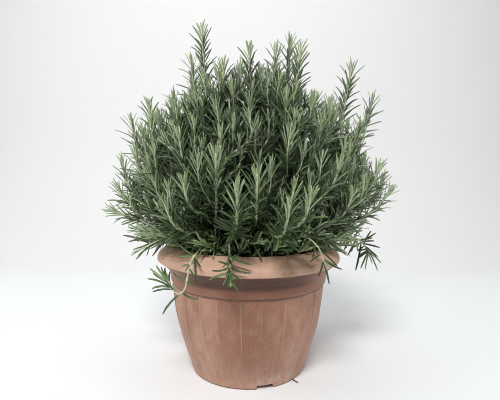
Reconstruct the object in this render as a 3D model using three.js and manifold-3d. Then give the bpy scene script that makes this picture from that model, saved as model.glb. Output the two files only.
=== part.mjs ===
// Potted rosemary plant: a bushy rosemary in a moulded terracotta-coloured pot.
// Millimetres, +Z up, pot standing on z = 0 with its axis on x = y = 0.
// The front of the pot faces -Y.
import * as THREE from 'three';
import { mergeVertices } from 'three/addons/utils/BufferGeometryUtils.js';
import Module from 'manifold-3d';

// ---- driving dimensions -------------------------------------------------
const GAP = 0.3;              // clearance between pieces that touch
const POT_RIM_R = 140;        // widest radius, on the rolled lip
const POT_HEIGHT = 193;       // crest of the lip
const POT_BASE_R = 87;        // foot ring, outside
const WALL = 3;               // moulded wall thickness
const FOOT_RECESS = 6;        // floor's underside above the surface
const FLOOR_TOP = 9.5;        // floor's upper face
const FLUTES = 12;            // shallow vertical flutes in the wall
const FLUTE_DEPTH = 1.3;
const FLUTE_FIRST_DEG = -12.5; // centre of the flute nearest the front
const SEGMENTS = 72;          // steps around the pot
const NOTCHES = 4;            // drain notches in the foot ring
const NOTCH_FIRST_DEG = 16.0; // the one at the front right
const NOTCH_WIDTH = 24;
const NOTCH_HEIGHT = 5;
const DRAIN_HOLES = 4;
const DRAIN_R = 5.5;
const DRAIN_AT_R = 52;
const SOIL_Z = 177;           // soil surface near the wall
const SOIL_RISE = 4;          // mound towards the crown
const CROWN_TOP_Z = 191.6;    // flat top that the branches rise from
const LEAF_LENGTH = 27;
const LEAF_WIDTH = 2.3;
const LEAF_PITCH = 14.5;       // spacing of leaf pairs along a stem
const TUFT = 17;              // the youngest leaves reach this far past the stem
const REACH_X = 222.5;        // the crown's half width
const REACH_Y = 197;          // and half depth

// ---- pot ----------------------------------------------------------------
// outside of the wall, radius at height, from the foot to the lip
const POT_OUTSIDE = [
  [87.0, 0], [88.4, 4], [89.4, 9.5], [90.4, 12.5], [98.9, 35], [107.2, 65], [111.6, 85],
  [114.0, 104], [116.2, 121], [117.2, 136.5], [118.6, 138.6], [119.4, 143],
  [120.8, 151], [123.2, 157.5], [126.0, 161.0],
];
const LIP = [
  [131.6, 165.4], [138.4, 171.4], [139.6, 174.4], [140, 178], [138.4, 181.6], [134.0, 184.6],
  [128.4, 187.4], [121.0, 190.8], [115.4, 193], [112.4, 192.6],
];
// inside, from the lip's crest down to the floor
const POT_INSIDE = [
  [110.8, 190.2], [111.8, 184], [115.2, 151], [113.4, 124],
  [108.6, 85], [104.2, 65], [95.8, 35], [86.8, 13], [85.4, FLOOR_TOP],
];
const UNDERSIDE = [[78.5, FOOT_RECESS], [80.5, 0]];

function closedLathe(outline, segments, reshape) {
  // outline: [r, z] points; both ends are on the axis or it closes on itself
  const onAxis = outline[0][0] === 0;
  const pos = [], idx = [], ring = [];
  for (const [r, z] of outline) {
    if (r === 0) { ring.push([pos.length / 3]); pos.push(0, 0, z); continue; }
    const ids = [];
    for (let s = 0; s < segments; s++) {
      const a = (2 * Math.PI * s) / segments;
      const q = reshape ? reshape(r, z, a) : [r, z];
      ids.push(pos.length / 3);
      pos.push(q[0] * Math.sin(a), -q[0] * Math.cos(a), q[1]);
    }
    ring.push(ids);
  }
  const n = ring.length, last = onAxis ? n - 1 : n;
  for (let k = 0; k < last; k++) {
    const A = ring[k], B = ring[(k + 1) % n];
    for (let s = 0; s < segments; s++) {
      const t = (s + 1) % segments;
      if (A.length === 1) idx.push(A[0], B[t], B[s]);
      else if (B.length === 1) idx.push(A[s], A[t], B[0]);
      else idx.push(A[s], A[t], B[t], A[s], B[t], B[s]);
    }
  }
  return meshFrom(pos, idx);
}

function meshFrom(pos, idx) {
  const g = new THREE.BufferGeometry();
  g.setAttribute('position', new THREE.Float32BufferAttribute(pos, 3));
  g.setIndex(idx);
  if (volume(g) < 0) {
    const a = g.index.array;
    for (let i = 0; i < a.length; i += 3) { const t = a[i]; a[i] = a[i + 1]; a[i + 1] = t; }
  }
  return g;
}

function volume(g) {
  const p = g.attributes.position, a = g.index.array;
  let v = 0;
  const A = new THREE.Vector3(), B = new THREE.Vector3(), C = new THREE.Vector3();
  for (let i = 0; i < a.length; i += 3) {
    A.fromBufferAttribute(p, a[i]); B.fromBufferAttribute(p, a[i + 1]); C.fromBufferAttribute(p, a[i + 2]);
    v += A.dot(B.cross(C)) / 6;
  }
  return v;
}

// ---- solids -------------------------------------------------------------
const wasm = await Module();
wasm.setup();

function toSolid(geometry) {
  const g = geometry.clone();
  g.deleteAttribute('normal');
  g.deleteAttribute('uv');
  const m = mergeVertices(g, 1e-4);
  return new wasm.Manifold(new wasm.Mesh({
    numProp: 3,
    vertProperties: new Float32Array(m.attributes.position.array),
    triVerts: new Uint32Array(m.index.array),
  }));
}

function fromSolid(solid) {
  const m = solid.getMesh();
  const pos = [];
  for (let i = 0; i < m.vertProperties.length; i += m.numProp) {
    pos.push(m.vertProperties[i], m.vertProperties[i + 1], m.vertProperties[i + 2]);
  }
  return meshFrom(pos, Array.from(m.triVerts));
}

function placedSolid(geometry, x, y, z, turnZ) {
  const g = geometry.clone();
  g.rotateZ(turnZ);
  g.translate(x, y, z);
  return toSolid(g);
}

function flute(r, z, a) {
  // shallow scalloped panels between z = 14 and the step
  if (z < 13 || z > 137 || r < 90) return [r, z];
  const fade = Math.min(1, (z - 12) / 55);
  const phase = ((a * 180) / Math.PI - FLUTE_FIRST_DEG) * (FLUTES / 360);
  const u = phase - Math.round(phase);          // -0.5 .. 0.5 across a flute
  const dip = Math.max(0, 1 - Math.pow(Math.abs(u) / 0.25, 4));
  return [r - FLUTE_DEPTH * fade * dip, z];
}

function buildPot() {
  const outside = [...POT_OUTSIDE, ...LIP];
  const outline = [[0, FOOT_RECESS], [DRAIN_AT_R, FOOT_RECESS], UNDERSIDE[0], UNDERSIDE[1], ...outside,
    ...POT_INSIDE, [DRAIN_AT_R, FLOOR_TOP], [0, FLOOR_TOP]];
  // flutes are on the outside only, so the inside rows are told apart by their index
  const firstInside = outline.indexOf(POT_INSIDE[0]);
  const insideRows = new Set(outline.slice(firstInside).map((q) => q[1] * 1000 + q[0]));
  const body = closedLathe(outline, SEGMENTS, (r, z, a) =>
    insideRows.has(z * 1000 + r) ? [r, z] : flute(r, z, a));
  let solid = toSolid(body);
  for (let k = 0; k < NOTCHES; k++) {
    const a = ((NOTCH_FIRST_DEG + (360 * k) / NOTCHES) * Math.PI) / 180;
    const box = new THREE.BoxGeometry(NOTCH_WIDTH, 30, NOTCH_HEIGHT * 2);
    solid = solid.subtract(placedSolid(box, 85 * Math.sin(a), -85 * Math.cos(a), 0, a));
  }
  for (let k = 0; k < DRAIN_HOLES; k++) {
    const a = ((45 + (360 * k) / DRAIN_HOLES) * Math.PI) / 180;
    const drill = new THREE.CylinderGeometry(DRAIN_R, DRAIN_R, 20, 12).rotateX(Math.PI / 2);
    solid = solid.subtract(placedSolid(drill, DRAIN_AT_R * Math.sin(a), -DRAIN_AT_R * Math.cos(a), 8, a));
  }
  return fromSolid(solid);
}

// ---- root crown and soil -------------------------------------------------
function tube(points, r0, r1, sides, cap = true) {
  // closed tapering tube through points
  const pos = [], idx = [];
  const fr = frames(points);
  for (let k = 0; k < points.length; k++) {
    const r = r0 + ((r1 - r0) * k) / (points.length - 1);
    for (let s = 0; s < sides; s++) {
      const a = (2 * Math.PI * s) / sides;
      const v = fr[k].u.clone().multiplyScalar(Math.cos(a) * r).addScaledVector(fr[k].v, Math.sin(a) * r);
      pos.push(points[k].x + v.x, points[k].y + v.y, points[k].z + v.z);
    }
  }
  for (let k = 0; k + 1 < points.length; k++) for (let s = 0; s < sides; s++) {
    const t = (s + 1) % sides, a = k * sides, b = a + sides;
    idx.push(a + s, a + t, b + t, a + s, b + t, b + s);
  }
  if (cap) {
    const e = (points.length - 1) * sides;
    for (let s = 1; s + 1 < sides; s++) { idx.push(0, s + 1, s); idx.push(e, e + s, e + s + 1); }
  }
  return meshFrom(pos, idx);
}

function frames(points) {
  // frames carried along the line without twist
  const out = [];
  let u = null;
  for (let k = 0; k < points.length; k++) {
    const a = points[Math.max(0, k - 1)], b = points[Math.min(points.length - 1, k + 1)];
    const t = b.clone().sub(a).normalize();
    if (!u) u = (Math.abs(t.x) < 0.8 ? new THREE.Vector3(1, 0, 0) : new THREE.Vector3(0, 1, 0));
    u = u.clone().addScaledVector(t, -u.dot(t)).normalize();
    out.push({ t, u, v: t.clone().cross(u) });
  }
  return out;
}

function crownSolid(grow) {
  const top = CROWN_TOP_Z + grow;
  const outline = [[0, 150 - grow], [11 + grow, 152 - grow], [15 + grow, 166], [19.5 + grow, 178], [20 + grow, 186], [18.6 + grow, top], [0, top]];
  let solid = toSolid(closedLathe(outline, 14));
  for (const [deg, reach, drop] of [[10, 62, 52], [82, 54, 70], [155, 66, 46], [226, 50, 78], [300, 60, 60]]) {
    const a = (deg * Math.PI) / 180;
    const pts = [0, 0.35, 0.7, 1].map((t) => new THREE.Vector3(
      Math.cos(a) * (4 + (reach + grow) * t), Math.sin(a) * (4 + (reach + grow) * t), 166 - (drop + grow) * (0.35 * t + 0.65 * t * t)));
    solid = solid.add(toSolid(tube(pts, 5.5 + grow, 1.8 + grow, 6)));
  }
  return solid;
}

function soilHeight(r, a) {
  const lump = 1.1 * Math.sin(3 * a + 0.6) * Math.sin(r / 17) + 0.9 * Math.sin(7 * a + 2) * Math.cos(r / 11);
  return SOIL_Z + SOIL_RISE * Math.exp(-((r / 60) ** 2)) + lump;
}

function buildSoil() {
  const inside = POT_INSIDE.filter(([, z]) => z < SOIL_Z - 3).map(([r, z]) => [r - GAP, z]).reverse();
  inside[0] = [inside[0][0] - 0.2, FLOOR_TOP + GAP];
  const rimR = 112.7 - GAP;
  const outline = [[0, FLOOR_TOP + GAP], ...inside, [rimR, SOIL_Z - 1.5], [rimR - 6, 1e3], [88, 1e3], [66, 1e3], [44, 1e3], [27, 1e3], [0, SOIL_Z + 6]];
  const g = closedLathe(outline, 40, (r, z, a) => (z === 1e3 ? [r, soilHeight(r, a)] : [r, z]));
  return fromSolid(toSolid(g).subtract(crownSolid(GAP)));
}

// ---- branches -------------------------------------------------------------
// name, branch that it grows from, stem radius at its base and its tip,
// and the points that the stem's axis passes through
const BRANCHES = [
  ['branch_01', null, 3.30, 1.15, [[1.8, 14.4, 192], [-24.3, 17.6, 229.9], [-42.4, 19.6, 267.6], [-54.2, 20.7, 307], [-61.7, 21.4, 350.3], [-66.5, 21.9, 399.5], [-70.5, 22.8, 456.5], [-75.5, 24.3, 523.6]]],
  ['branch_02', null, 3.30, 1.15, [[-3, -4.5, 193], [-1.6, -3.9, 232.8], [-0.7, -3.1, 268.8], [-0.1, -2.2, 303.7], [0, -1.6, 340.2], [-0, -1.5, 380.8], [-0.2, -2.2, 428.2], [-0.5, -4, 485.2]]],
  ['branch_03', null, 3.30, 1.15, [[4, 4.5, 193], [24.6, 8, 230.1], [38.5, 10.4, 266], [47.2, 11.8, 302.8], [52.4, 12.6, 342.6], [55.6, 13.2, 387.6], [58.4, 13.7, 439.9], [62.4, 14.7, 501.6]]],
  ['branch_04', null, 3.30, 1.15, [[11.6, -8.8, 192], [44, -3.8, 218.6], [72.5, -0.6, 246.5], [96.4, 2.7, 276.7], [116.4, 5.4, 311.5], [132.8, 7.6, 352.6], [146.1, 9.1, 401.9], [156.5, 10, 461.3]]],
  ['branch_05', null, 3.30, 1.15, [[-7.9, 12.2, 192], [-37.8, 15.5, 214.2], [-66.2, 18.5, 235.6], [-92.3, 21.3, 258.3], [-115.6, 23.8, 284.6], [-135.3, 26, 316.7], [-150.8, 27.9, 356.8], [-161.6, 29.5, 407.1]]],
  ['branch_06', null, 3.30, 1.15, [[3.2, -14.1, 192], [37.4, -16.9, 205], [70.9, -14.8, 215.1], [104.7, -16.1, 226.9], [136.4, -17.7, 239.7], [163.1, -18.3, 256.7], [183.1, -19, 279.7], [194.3, -19.6, 310.5]]],
  ['branch_07', null, 3.30, 1.15, [[-13.9, 4.3, 192], [-45.4, 5.2, 203.8], [-79.6, 6.2, 213.7], [-114, 7.1, 222.8], [-146.3, 8, 232.3], [-173.8, 8.8, 243.5], [-194.3, 9.4, 257.3], [-205.3, 9.8, 275.2]]],
  ['branch_08', null, 3.30, 1.15, [[-6.6, -12.9, 192], [6.9, -31.8, 211.2], [19.3, -49.1, 229.9], [30.6, -64.6, 249.8], [40.3, -78.1, 272.6], [48.3, -89.4, 299.9], [54.3, -98.1, 333.2], [58.1, -104.2, 374.4]]],
  ['branch_09', null, 3.30, 1.15, [[-13.4, -5.6, 192], [-26.9, -26.1, 208.8], [-40.1, -46.3, 224.2], [-53.5, -66.5, 239.3], [-65.3, -84.8, 257.3], [-75.5, -100.5, 279.9], [-83.4, -112.4, 309.6], [-88.6, -119.8, 348.4]]],
  ['branch_10', null, 3.30, 1.15, [[10.6, 9.9, 192], [-6.2, 38.8, 217.9], [-21.6, 64.8, 243.8], [-35.2, 87.8, 271.8], [-47.4, 107.2, 304.4], [-57.3, 123.9, 343.1], [-64.4, 138.2, 389.9], [-69.6, 148.4, 447.9]]],
  ['branch_11', null, 3.30, 1.15, [[14.5, 0.7, 192], [28.7, 31.1, 217.7], [41.4, 58.8, 243.2], [52.9, 83.7, 270.7], [63, 105.3, 302.4], [71.5, 123.5, 340.5], [78.4, 138.1, 387.2], [83.9, 148.6, 444.8]]],
  ['shoot_01', 'branch_01', 1.90, 1.00, [[-62.7, 21.5, 358.8], [-70.8, 32.2, 374.3], [-78, 42.5, 390.6], [-84.5, 52, 409.2], [-90.1, 60, 430.7], [-94.7, 66.1, 455.9], [-98.3, 69.6, 485.3]]],
  ['shoot_02', 'branch_01', 1.90, 1.00, [[-58.2, 21.1, 327.1], [-54, 7.7, 342.4], [-48.9, -5.6, 358.3], [-44, -17.8, 376.4], [-40, -28.2, 397.5], [-37.7, -35.7, 422.4], [-37.8, -39.5, 451.9]]],
  ['shoot_03', 'branch_02', 1.90, 1.00, [[0.1, -1.6, 343.8], [-4.1, 11.8, 357.7], [-8.1, 25, 373.6], [-11.9, 37.1, 391.8], [-15, 47.5, 413], [-17.4, 55.2, 438], [-18.8, 59.6, 467.5]]],
  ['shoot_04', 'branch_03', 1.90, 1.00, [[54.2, 12.9, 365.9], [50.9, 21, 383.8], [47.5, 28, 402.2], [44.3, 33.9, 422.3], [42, 38.7, 444.8], [40.9, 42.2, 470.4], [41.5, 44.6, 499.9]]],
  ['shoot_05', 'branch_03', 1.90, 1.00, [[52.8, 12.7, 346.6], [57.5, 2.4, 362.4], [61.3, -7.2, 380.1], [64.6, -15.7, 399.9], [67.3, -22.7, 422.5], [69.9, -27.6, 448.4], [72.4, -30.1, 478.3]]],
  ['shoot_06', 'branch_04', 1.90, 1.00, [[97.2, 2.8, 278], [106.4, 21.4, 293], [114.5, 41, 310.6], [121.4, 59.8, 331.4], [127.5, 76.3, 356.5], [133, 88.8, 387], [138, 95.6, 424]]],
  ['shoot_07', 'branch_04', 1.90, 1.00, [[115.7, 5.3, 310.1], [131.9, 12, 321.2], [148.7, 19.4, 333.6], [164.9, 26.7, 348.5], [179.5, 33.1, 366.9], [191.2, 37.9, 390], [199, 40.5, 418.8]]],
  ['shoot_08', 'branch_04', 1.90, 1.00, [[84.2, 0.9, 260.1], [97.6, -10.4, 270.3], [111.5, -23.2, 282.4], [124.7, -36, 297], [136.3, -47.4, 315.3], [145.7, -56, 338.4], [151.9, -60.3, 367.2]]],
  ['shoot_09', 'branch_06', 1.90, 1.00, [[110.3, -16.4, 229], [128.2, -10.5, 234.6], [149.3, -3.4, 238.9], [170.7, 4.9, 243.8], [190.2, 12.5, 252.5], [205.2, 18.2, 267.9], [213.5, 20.9, 293.1]]],
  ['shoot_10', 'branch_01', 1.90, 1.00, [[-44.1, 19.7, 272], [-57, 6.1, 284.5], [-70.2, -8.8, 299.1], [-82.7, -23.5, 316.4], [-93.6, -36.4, 337.5], [-102.3, -45.9, 363.7], [-107.9, -50.6, 396]]],
  ['shoot_11', 'branch_05', 1.90, 1.00, [[-98.6, 22, 264.7], [-115, 15.8, 275.9], [-131.3, 8.8, 288.8], [-146.6, 1.8, 304.5], [-160.1, -4.4, 323.8], [-170.8, -8.9, 347.5], [-177.9, -10.7, 376.6]]],
  ['shoot_12', 'branch_07', 1.90, 1.00, [[-131.3, 7.6, 227.7], [-147, 16.5, 235.6], [-164.2, 27.2, 244.4], [-180.8, 38.3, 255.5], [-195.6, 48.4, 270.4], [-206.9, 56.1, 290.8], [-213.5, 60.1, 318.1]]],
  ['shoot_13', 'branch_08', 1.90, 1.00, [[30.9, -65.2, 250.6], [44.9, -72, 263.1], [58.6, -77.9, 277.9], [71.3, -82.9, 295.5], [82.1, -87.2, 316.5], [90.3, -90.8, 341.4], [95.2, -93.8, 370.8]]],
  ['shoot_14', 'branch_03', 1.90, 1.00, [[41.9, 10.9, 278.1], [43.8, -5.4, 292.1], [45, -22.3, 307.6], [45.8, -38.3, 325.7], [46.5, -52.2, 347.2], [47.4, -62.5, 373], [48.8, -67.9, 404.1]]],
  ['shoot_15', 'branch_02', 1.90, 1.00, [[-1.5, -3.9, 234.9], [-5.7, -21.4, 250], [-10, -39.2, 267], [-14.1, -56.2, 286.6], [-17.7, -71, 310], [-20.5, -82.3, 338.2], [-22.1, -88.6, 372.2]]],
  ['shoot_16', 'branch_09', 1.90, 1.00, [[-58.3, -73.9, 245.9], [-53.9, -86, 256.7], [-48.7, -96.8, 269.9], [-43.4, -106.1, 285.6], [-38.8, -113.8, 304], [-35.8, -119.8, 325.7], [-35.2, -124, 350.9]]],
  ['shoot_17', 'branch_02', 1.90, 1.00, [[-2.2, -4.2, 216], [-0, -24.8, 231.6], [2.1, -46.6, 248.2], [4.1, -67.8, 267.6], [5.9, -86.4, 291.1], [7.2, -100.7, 320.3], [7.9, -108.8, 356.4]]],
  ['shoot_18', 'branch_09', 1.90, 1.00, [[-47, -56.7, 231.7], [-44.7, -71.8, 237.7], [-43.5, -91.6, 247.7], [-41.9, -111.1, 260], [-40.4, -128.5, 276], [-39.5, -142, 297.1], [-39.8, -149.7, 324.4]]],
  ['shoot_19', 'branch_09', 1.90, 1.00, [[-52.3, -64.7, 237.8], [-55.9, -80.1, 241.5], [-61.9, -95.7, 247], [-66.9, -113, 251.6], [-71.6, -129, 258.9], [-75.6, -141.7, 271], [-78.5, -149.2, 290]]],
  ['shoot_20', 'branch_09', 1.90, 1.00, [[-42.8, -50.4, 227.2], [-55, -52, 229.3], [-74.1, -60.2, 236.6], [-93.8, -68.2, 245.4], [-111.8, -75.3, 257.6], [-125.9, -81.1, 275.4], [-134, -85, 300.6]]],
  ['shoot_21', 'branch_09', 1.90, 1.00, [[-25.8, -24.6, 207.5], [-22.4, -51.2, 215.6], [-21.6, -82.4, 220.5], [-19.1, -115.6, 224.9], [-15.7, -146.6, 234.3], [-13.4, -171.7, 252.9], [-12.8, -187.1, 285]]],
  ['shoot_22', 'branch_08', 1.90, 1.00, [[5.9, -30.4, 209.7], [7.3, -53.4, 219.1], [8.6, -80, 227], [9, -107.6, 236.3], [9.2, -132.9, 249.8], [9.3, -153, 270.6], [9.6, -164.6, 301.3]]],
  ['shoot_23', 'branch_08', 1.90, 1.00, [[12.1, -39, 218.8], [16.1, -64.5, 221.7], [24.3, -91.8, 224.8], [30.9, -122.8, 223.4], [36.9, -151.9, 226.5], [41.9, -175.4, 239.4], [45.3, -189.5, 267.6]]],
  ['shoot_24', 'branch_08', 1.90, 1.00, [[19.6, -49.5, 230.4], [25.1, -68.1, 230.3], [36.2, -93.8, 234.2], [46.7, -121.6, 234.3], [56.5, -147.8, 238.3], [64.5, -169.2, 251], [69.5, -182.5, 277]]],
  ['shoot_25', 'branch_08', 1.90, 1.00, [[23.2, -54.5, 236.3], [39, -64.4, 244.1], [57.9, -75.5, 250.9], [77.4, -86.7, 258.8], [95.2, -96.9, 270.3], [108.9, -105, 287.6], [116.1, -109.9, 313]]],
  ['shoot_26', 'branch_06', 1.90, 1.00, [[48.1, -16.4, 208.4], [59.3, -26.9, 212.8], [77.5, -42.7, 217.7], [96.9, -59.7, 222.3], [114.6, -74.5, 232.5], [129.2, -87, 248.6], [138.7, -94.5, 274.6]]],
  ['shoot_27', 'branch_09', 1.90, 1.00, [[-34.6, -37.9, 217.8], [-39.1, -53.7, 216.1], [-56.3, -72.7, 221.6], [-70.2, -94.9, 222.6], [-83.4, -115.8, 227.3], [-94.4, -133, 239.6], [-101.6, -143.9, 263.2]]],
  ['shoot_28', 'branch_10', 1.90, 1.00, [[-47, 106.5, 303], [-49, 120, 317.8], [-52.5, 127.1, 337], [-54.7, 133.4, 357.7], [-56.2, 138.9, 381.1], [-57.5, 143.6, 407.8], [-59.1, 148, 438.1]]],
  ['shoot_29', 'branch_11', 1.90, 1.00, [[63.8, 107.1, 305.7], [62.4, 120.1, 319.7], [61.4, 130.5, 336.6], [59.8, 139.6, 355.9], [58.4, 147.1, 378.1], [57.9, 153.3, 403.7], [58.7, 158.3, 433]]],
  ['shoot_30', 'branch_10', 1.90, 1.00, [[-40.2, 95.8, 283.9], [-57.4, 100.9, 294.4], [-76.1, 105.1, 306.6], [-94.4, 108.7, 321.4], [-110.6, 112, 339.9], [-123.1, 115.2, 363.2], [-130.1, 118.4, 392.4]]],
  ['shoot_31', 'branch_11', 1.90, 1.00, [[57, 92.5, 282.4], [71.6, 99.6, 294], [86.6, 105.8, 307.8], [101, 111.2, 324.4], [113.6, 115.9, 344.4], [123.3, 120, 368.6], [129.2, 123.6, 397.6]]],
  ['shoot_32', 'branch_05', 1.90, 1.00, [[-78.7, 19.9, 245.9], [-95.9, 33.7, 252.9], [-116.8, 51.5, 256.6], [-138.4, 70.7, 260.5], [-158.5, 88.5, 268.5], [-174.4, 102.4, 284.4], [-184, 109.8, 312.1]]],
  ['shoot_33', 'branch_11', 1.90, 1.00, [[31.2, 36.5, 222.5], [54.8, 50, 232], [84.1, 65.8, 238.8], [115.1, 81.6, 246.5], [143.8, 96.1, 259.3], [166.5, 107.5, 281.4], [179.3, 114.5, 317]]],
  ['shoot_34', 'branch_10', 1.90, 1.00, [[-28.1, 75.9, 256.4], [-38.2, 93.3, 263.2], [-50.6, 114.8, 267.5], [-63.6, 137.4, 272.2], [-75.6, 158.3, 280.6], [-85, 174.9, 296.1], [-90.1, 184.3, 321.9]]],
  ['shoot_35', 'branch_11', 1.90, 1.00, [[46.9, 70.8, 255.6], [54.5, 89.7, 262], [63.8, 113.4, 265.5], [73.6, 138.2, 269.1], [82.7, 161.2, 276.5], [90, 179.3, 291.2], [94.4, 189.5, 316.8]]],
  ['shoot_36', 'branch_10', 1.90, 1.00, [[-12.7, 49.8, 228.4], [-9.9, 74.3, 238.3], [-5.5, 103, 246.5], [-0.4, 132.3, 256], [4.6, 158.8, 270.3], [8.5, 179, 292.8], [10.2, 189.5, 326.9]]],
  ['sprig_01', 'branch_09', 1.70, 0.95, [[-30.5, -31.7, 213.1], [-28.3, -62.6, 216.3], [-24.9, -92, 214.2], [-24.8, -120, 212.6], [-23.2, -143, 200.8], [-22.2, -153, 178.6]]],
  ['sprig_02', 'branch_09', 1.70, 0.95, [[-38.7, -44.1, 222.5], [-49.5, -54, 215], [-61.8, -72, 203.8], [-65.9, -102, 198.6], [-72.3, -133, 189.8], [-76.5, -136, 169], [-80.2, -133, 155.4], [-89.8, -129, 148.7], [-102.6, -124, 155.3]]],
  ['sprig_03', 'branch_07', 1.70, 0.95, [[-53.2, 5.4, 206.3], [-65, -16.6, 221.4], [-82.9, -38.4, 230.5], [-103.6, -56.6, 218.4], [-125.8, -70.1, 206.5], [-148.8, -80, 195.6]]],
  ['sprig_04', 'branch_07', 1.70, 0.95, [[-43, 5.1, 203], [-50.8, -14.3, 215.8], [-58.3, -33.7, 220.5], [-117.6, -23.8, 221.9], [-165.2, -21.9, 229.4], [-203.3, -25, 242]]],
  ['sprig_05', 'branch_08', 1.70, 0.95, [[15.9, -44.4, 224.5], [40, -53.5, 220.7], [66.6, -66, 212.6], [80.5, -86, 213.2], [90.6, -108, 205.1], [97.2, -116, 188.4]]],
  ['sprig_06', 'branch_06', 1.70, 0.95, [[57, -15.6, 210.9], [61.3, -18.3, 219.8], [78.4, -22.3, 219.4], [130.2, -13.2, 212.5], [167, -9.5, 199.1], [188.7, -10, 178.4]]],
  ['sprig_07', 'branch_06', 1.70, 0.95, [[39.3, -16.9, 205.6], [58.7, -34, 219.5], [82.5, -49.5, 225.2], [127.4, -65.5, 230.2], [169.7, -62.6, 244], [198.8, -55, 276.5]]],
];

function throughPoints(P, n) {
  const K = P.length - 1;
  const Q = [P[0].clone().multiplyScalar(2).sub(P[1]), ...P, P[K].clone().multiplyScalar(2).sub(P[K - 1])];
  const out = [];
  for (let s = 0; s < n; s++) {
    const x = (K * s) / (n - 1), i = Math.min(Math.floor(x), K - 1), t = x - i;
    const [a, b, c, d] = [Q[i], Q[i + 1], Q[i + 2], Q[i + 3]];
    const f = (A, B, C, D) => 0.5 * (2 * B + (C - A) * t + (2 * A - 5 * B + 4 * C - D) * t * t + (3 * B - A - 3 * C + D) * t ** 3);
    out.push(new THREE.Vector3(f(a.x, b.x, c.x, d.x), f(a.y, b.y, c.y, d.y), f(a.z, b.z, c.z, d.z)));
  }
  return out;
}

// spheres along every stem and leaf already placed, in cells, for clearance
const CELL = 12;
const cells = new Map();
const key = (x, y, z) => `${Math.floor(x / CELL)},${Math.floor(y / CELL)},${Math.floor(z / CELL)}`;
function occupy(p, r, owner, at) {
  const k = key(p.x, p.y, p.z);
  if (!cells.has(k)) cells.set(k, []);
  cells.get(k).push({ p, r, owner, at });
}
function blocked(p, r, owner, at) {
  const cx = Math.floor(p.x / CELL), cy = Math.floor(p.y / CELL), cz = Math.floor(p.z / CELL);
  for (let i = -1; i <= 1; i++) for (let j = -1; j <= 1; j++) for (let k = -1; k <= 1; k++) {
    const list = cells.get(`${cx + i},${cy + j},${cz + k}`);
    if (!list) continue;
    for (const q of list) {
      if (q.owner === owner && Math.abs(q.at - at) < 9) continue;
      if (q.p.distanceTo(p) < q.r + r + 0.55) return true;
    }
  }
  return potNear(p, r);
}
const potLine = [...POT_OUTSIDE, ...LIP, ...POT_INSIDE];
function potNear(p, r) {
  const R = Math.hypot(p.x, p.y);
  if (p.z < 0.8 + r) return true;
  if (R < 111 && p.z < soilHeight(R, Math.atan2(p.x, -p.y)) + r + 1.2) return true;
  for (let k = 0; k + 1 < potLine.length; k++) {
    const [a, b] = potLine[k], [c, d] = potLine[k + 1];
    const L2 = (c - a) ** 2 + (d - b) ** 2;
    const t = Math.max(0, Math.min(1, ((R - a) * (c - a) + (p.z - b) * (d - b)) / L2));
    if (Math.hypot(R - a - t * (c - a), p.z - b - t * (d - b)) < r + 0.7) return true;
  }
  return false;
}

function layStem([name, parent, r0, r1, pts], stems) {
  let line = throughPoints(pts.map((q) => new THREE.Vector3(...q)), 140);
  const radius = (k) => r0 + ((r1 - r0) * k) / (line.length - 1);
  let first = 0;
  if (parent) {
    // start just clear of the branch it grows from
    const host = stems.get(parent);
    for (let k = line.length - 1; k >= 0; k--) {
      const clear = host.line.every((q, j) => q.distanceTo(line[k]) > host.radius(j) + radius(k) + GAP + 0.15);
      if (!clear) { first = k + 1; break; }
    }
    if (first > line.length * 0.5) first = 12;
  }
  let length = 0;
  const at = line.map((q, k) => (k ? (length += q.distanceTo(line[k - 1])) : 0));
  return { name, line, radius, first, at, length };
}

function within(from, to) {
  // shortens a leaf that would pass the crown's outline
  const d = to.clone().sub(from);
  let t = 1;
  if (Math.abs(to.x) > REACH_X) t = Math.min(t, (Math.sign(to.x) * REACH_X - from.x) / d.x);
  if (Math.abs(to.y) > REACH_Y) t = Math.min(t, (Math.sign(to.y) * REACH_Y - from.y) / d.y);
  return from.clone().addScaledVector(d, Math.max(0.25, t));
}

function leafTip(frame, centre, side, lift, length) {
  return within(centre, centre.clone()
    .addScaledVector(side, Math.sin(lift) * length)
    .addScaledVector(frame.t, Math.cos(lift) * length));
}

function layRings(stem) {
  // cross-sections of the stem: two close together at each leaf pair
  const { name, line, radius, first, at, length } = stem;
  const fr = frames(line);
  const where = (s) => {
    let k = first;
    while (k + 1 < line.length - 1 && at[k + 1] < s) k++;
    const t = Math.min(1, Math.max(0, (s - at[k]) / (at[k + 1] - at[k] || 1)));
    return { p: line[k].clone().lerp(line[k + 1], t), f: fr[k], r: radius(k + t) };
  };
  const s0 = at[first];
  const main = name.startsWith('branch');
  const leafFrom = s0 + (length - s0) * (main ? 0.45 : name.startsWith('sprig') ? 0.34 : 0.2);
  stem.levels = Math.max(4, Math.floor((length - 5 - leafFrom) / LEAF_PITCH) + 1);
  const pitch = (length - 5 - leafFrom) / (stem.levels - 1);
  const rings = [];   // { s, leaf }
  const bare = Math.max(1, Math.round((leafFrom - s0) / 20));
  for (let k = 0; k < bare; k++) rings.push({ s: s0 + ((leafFrom - s0) * k) / bare });
  for (let k = 0; k < stem.levels; k++) {
    rings.push({ s: leafFrom + k * pitch, leaf: k });
    rings.push({ s: leafFrom + k * pitch + 2.4 });
  }
  stem.rings = rings;
  stem.ringAt = rings.map(({ s }) => where(s));
  for (let k = 0; k + 1 < rings.length; k++) {
    const A = stem.ringAt[k], B = stem.ringAt[k + 1], n = Math.ceil(A.p.distanceTo(B.p) / 1.2);
    for (let q = 0; q <= n; q++) {
      occupy(A.p.clone().lerp(B.p, q / n), A.r + ((B.r - A.r) * q) / n, name, rings[k].s + ((rings[k + 1].s - rings[k].s) * q) / n);
    }
  }
}

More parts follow.
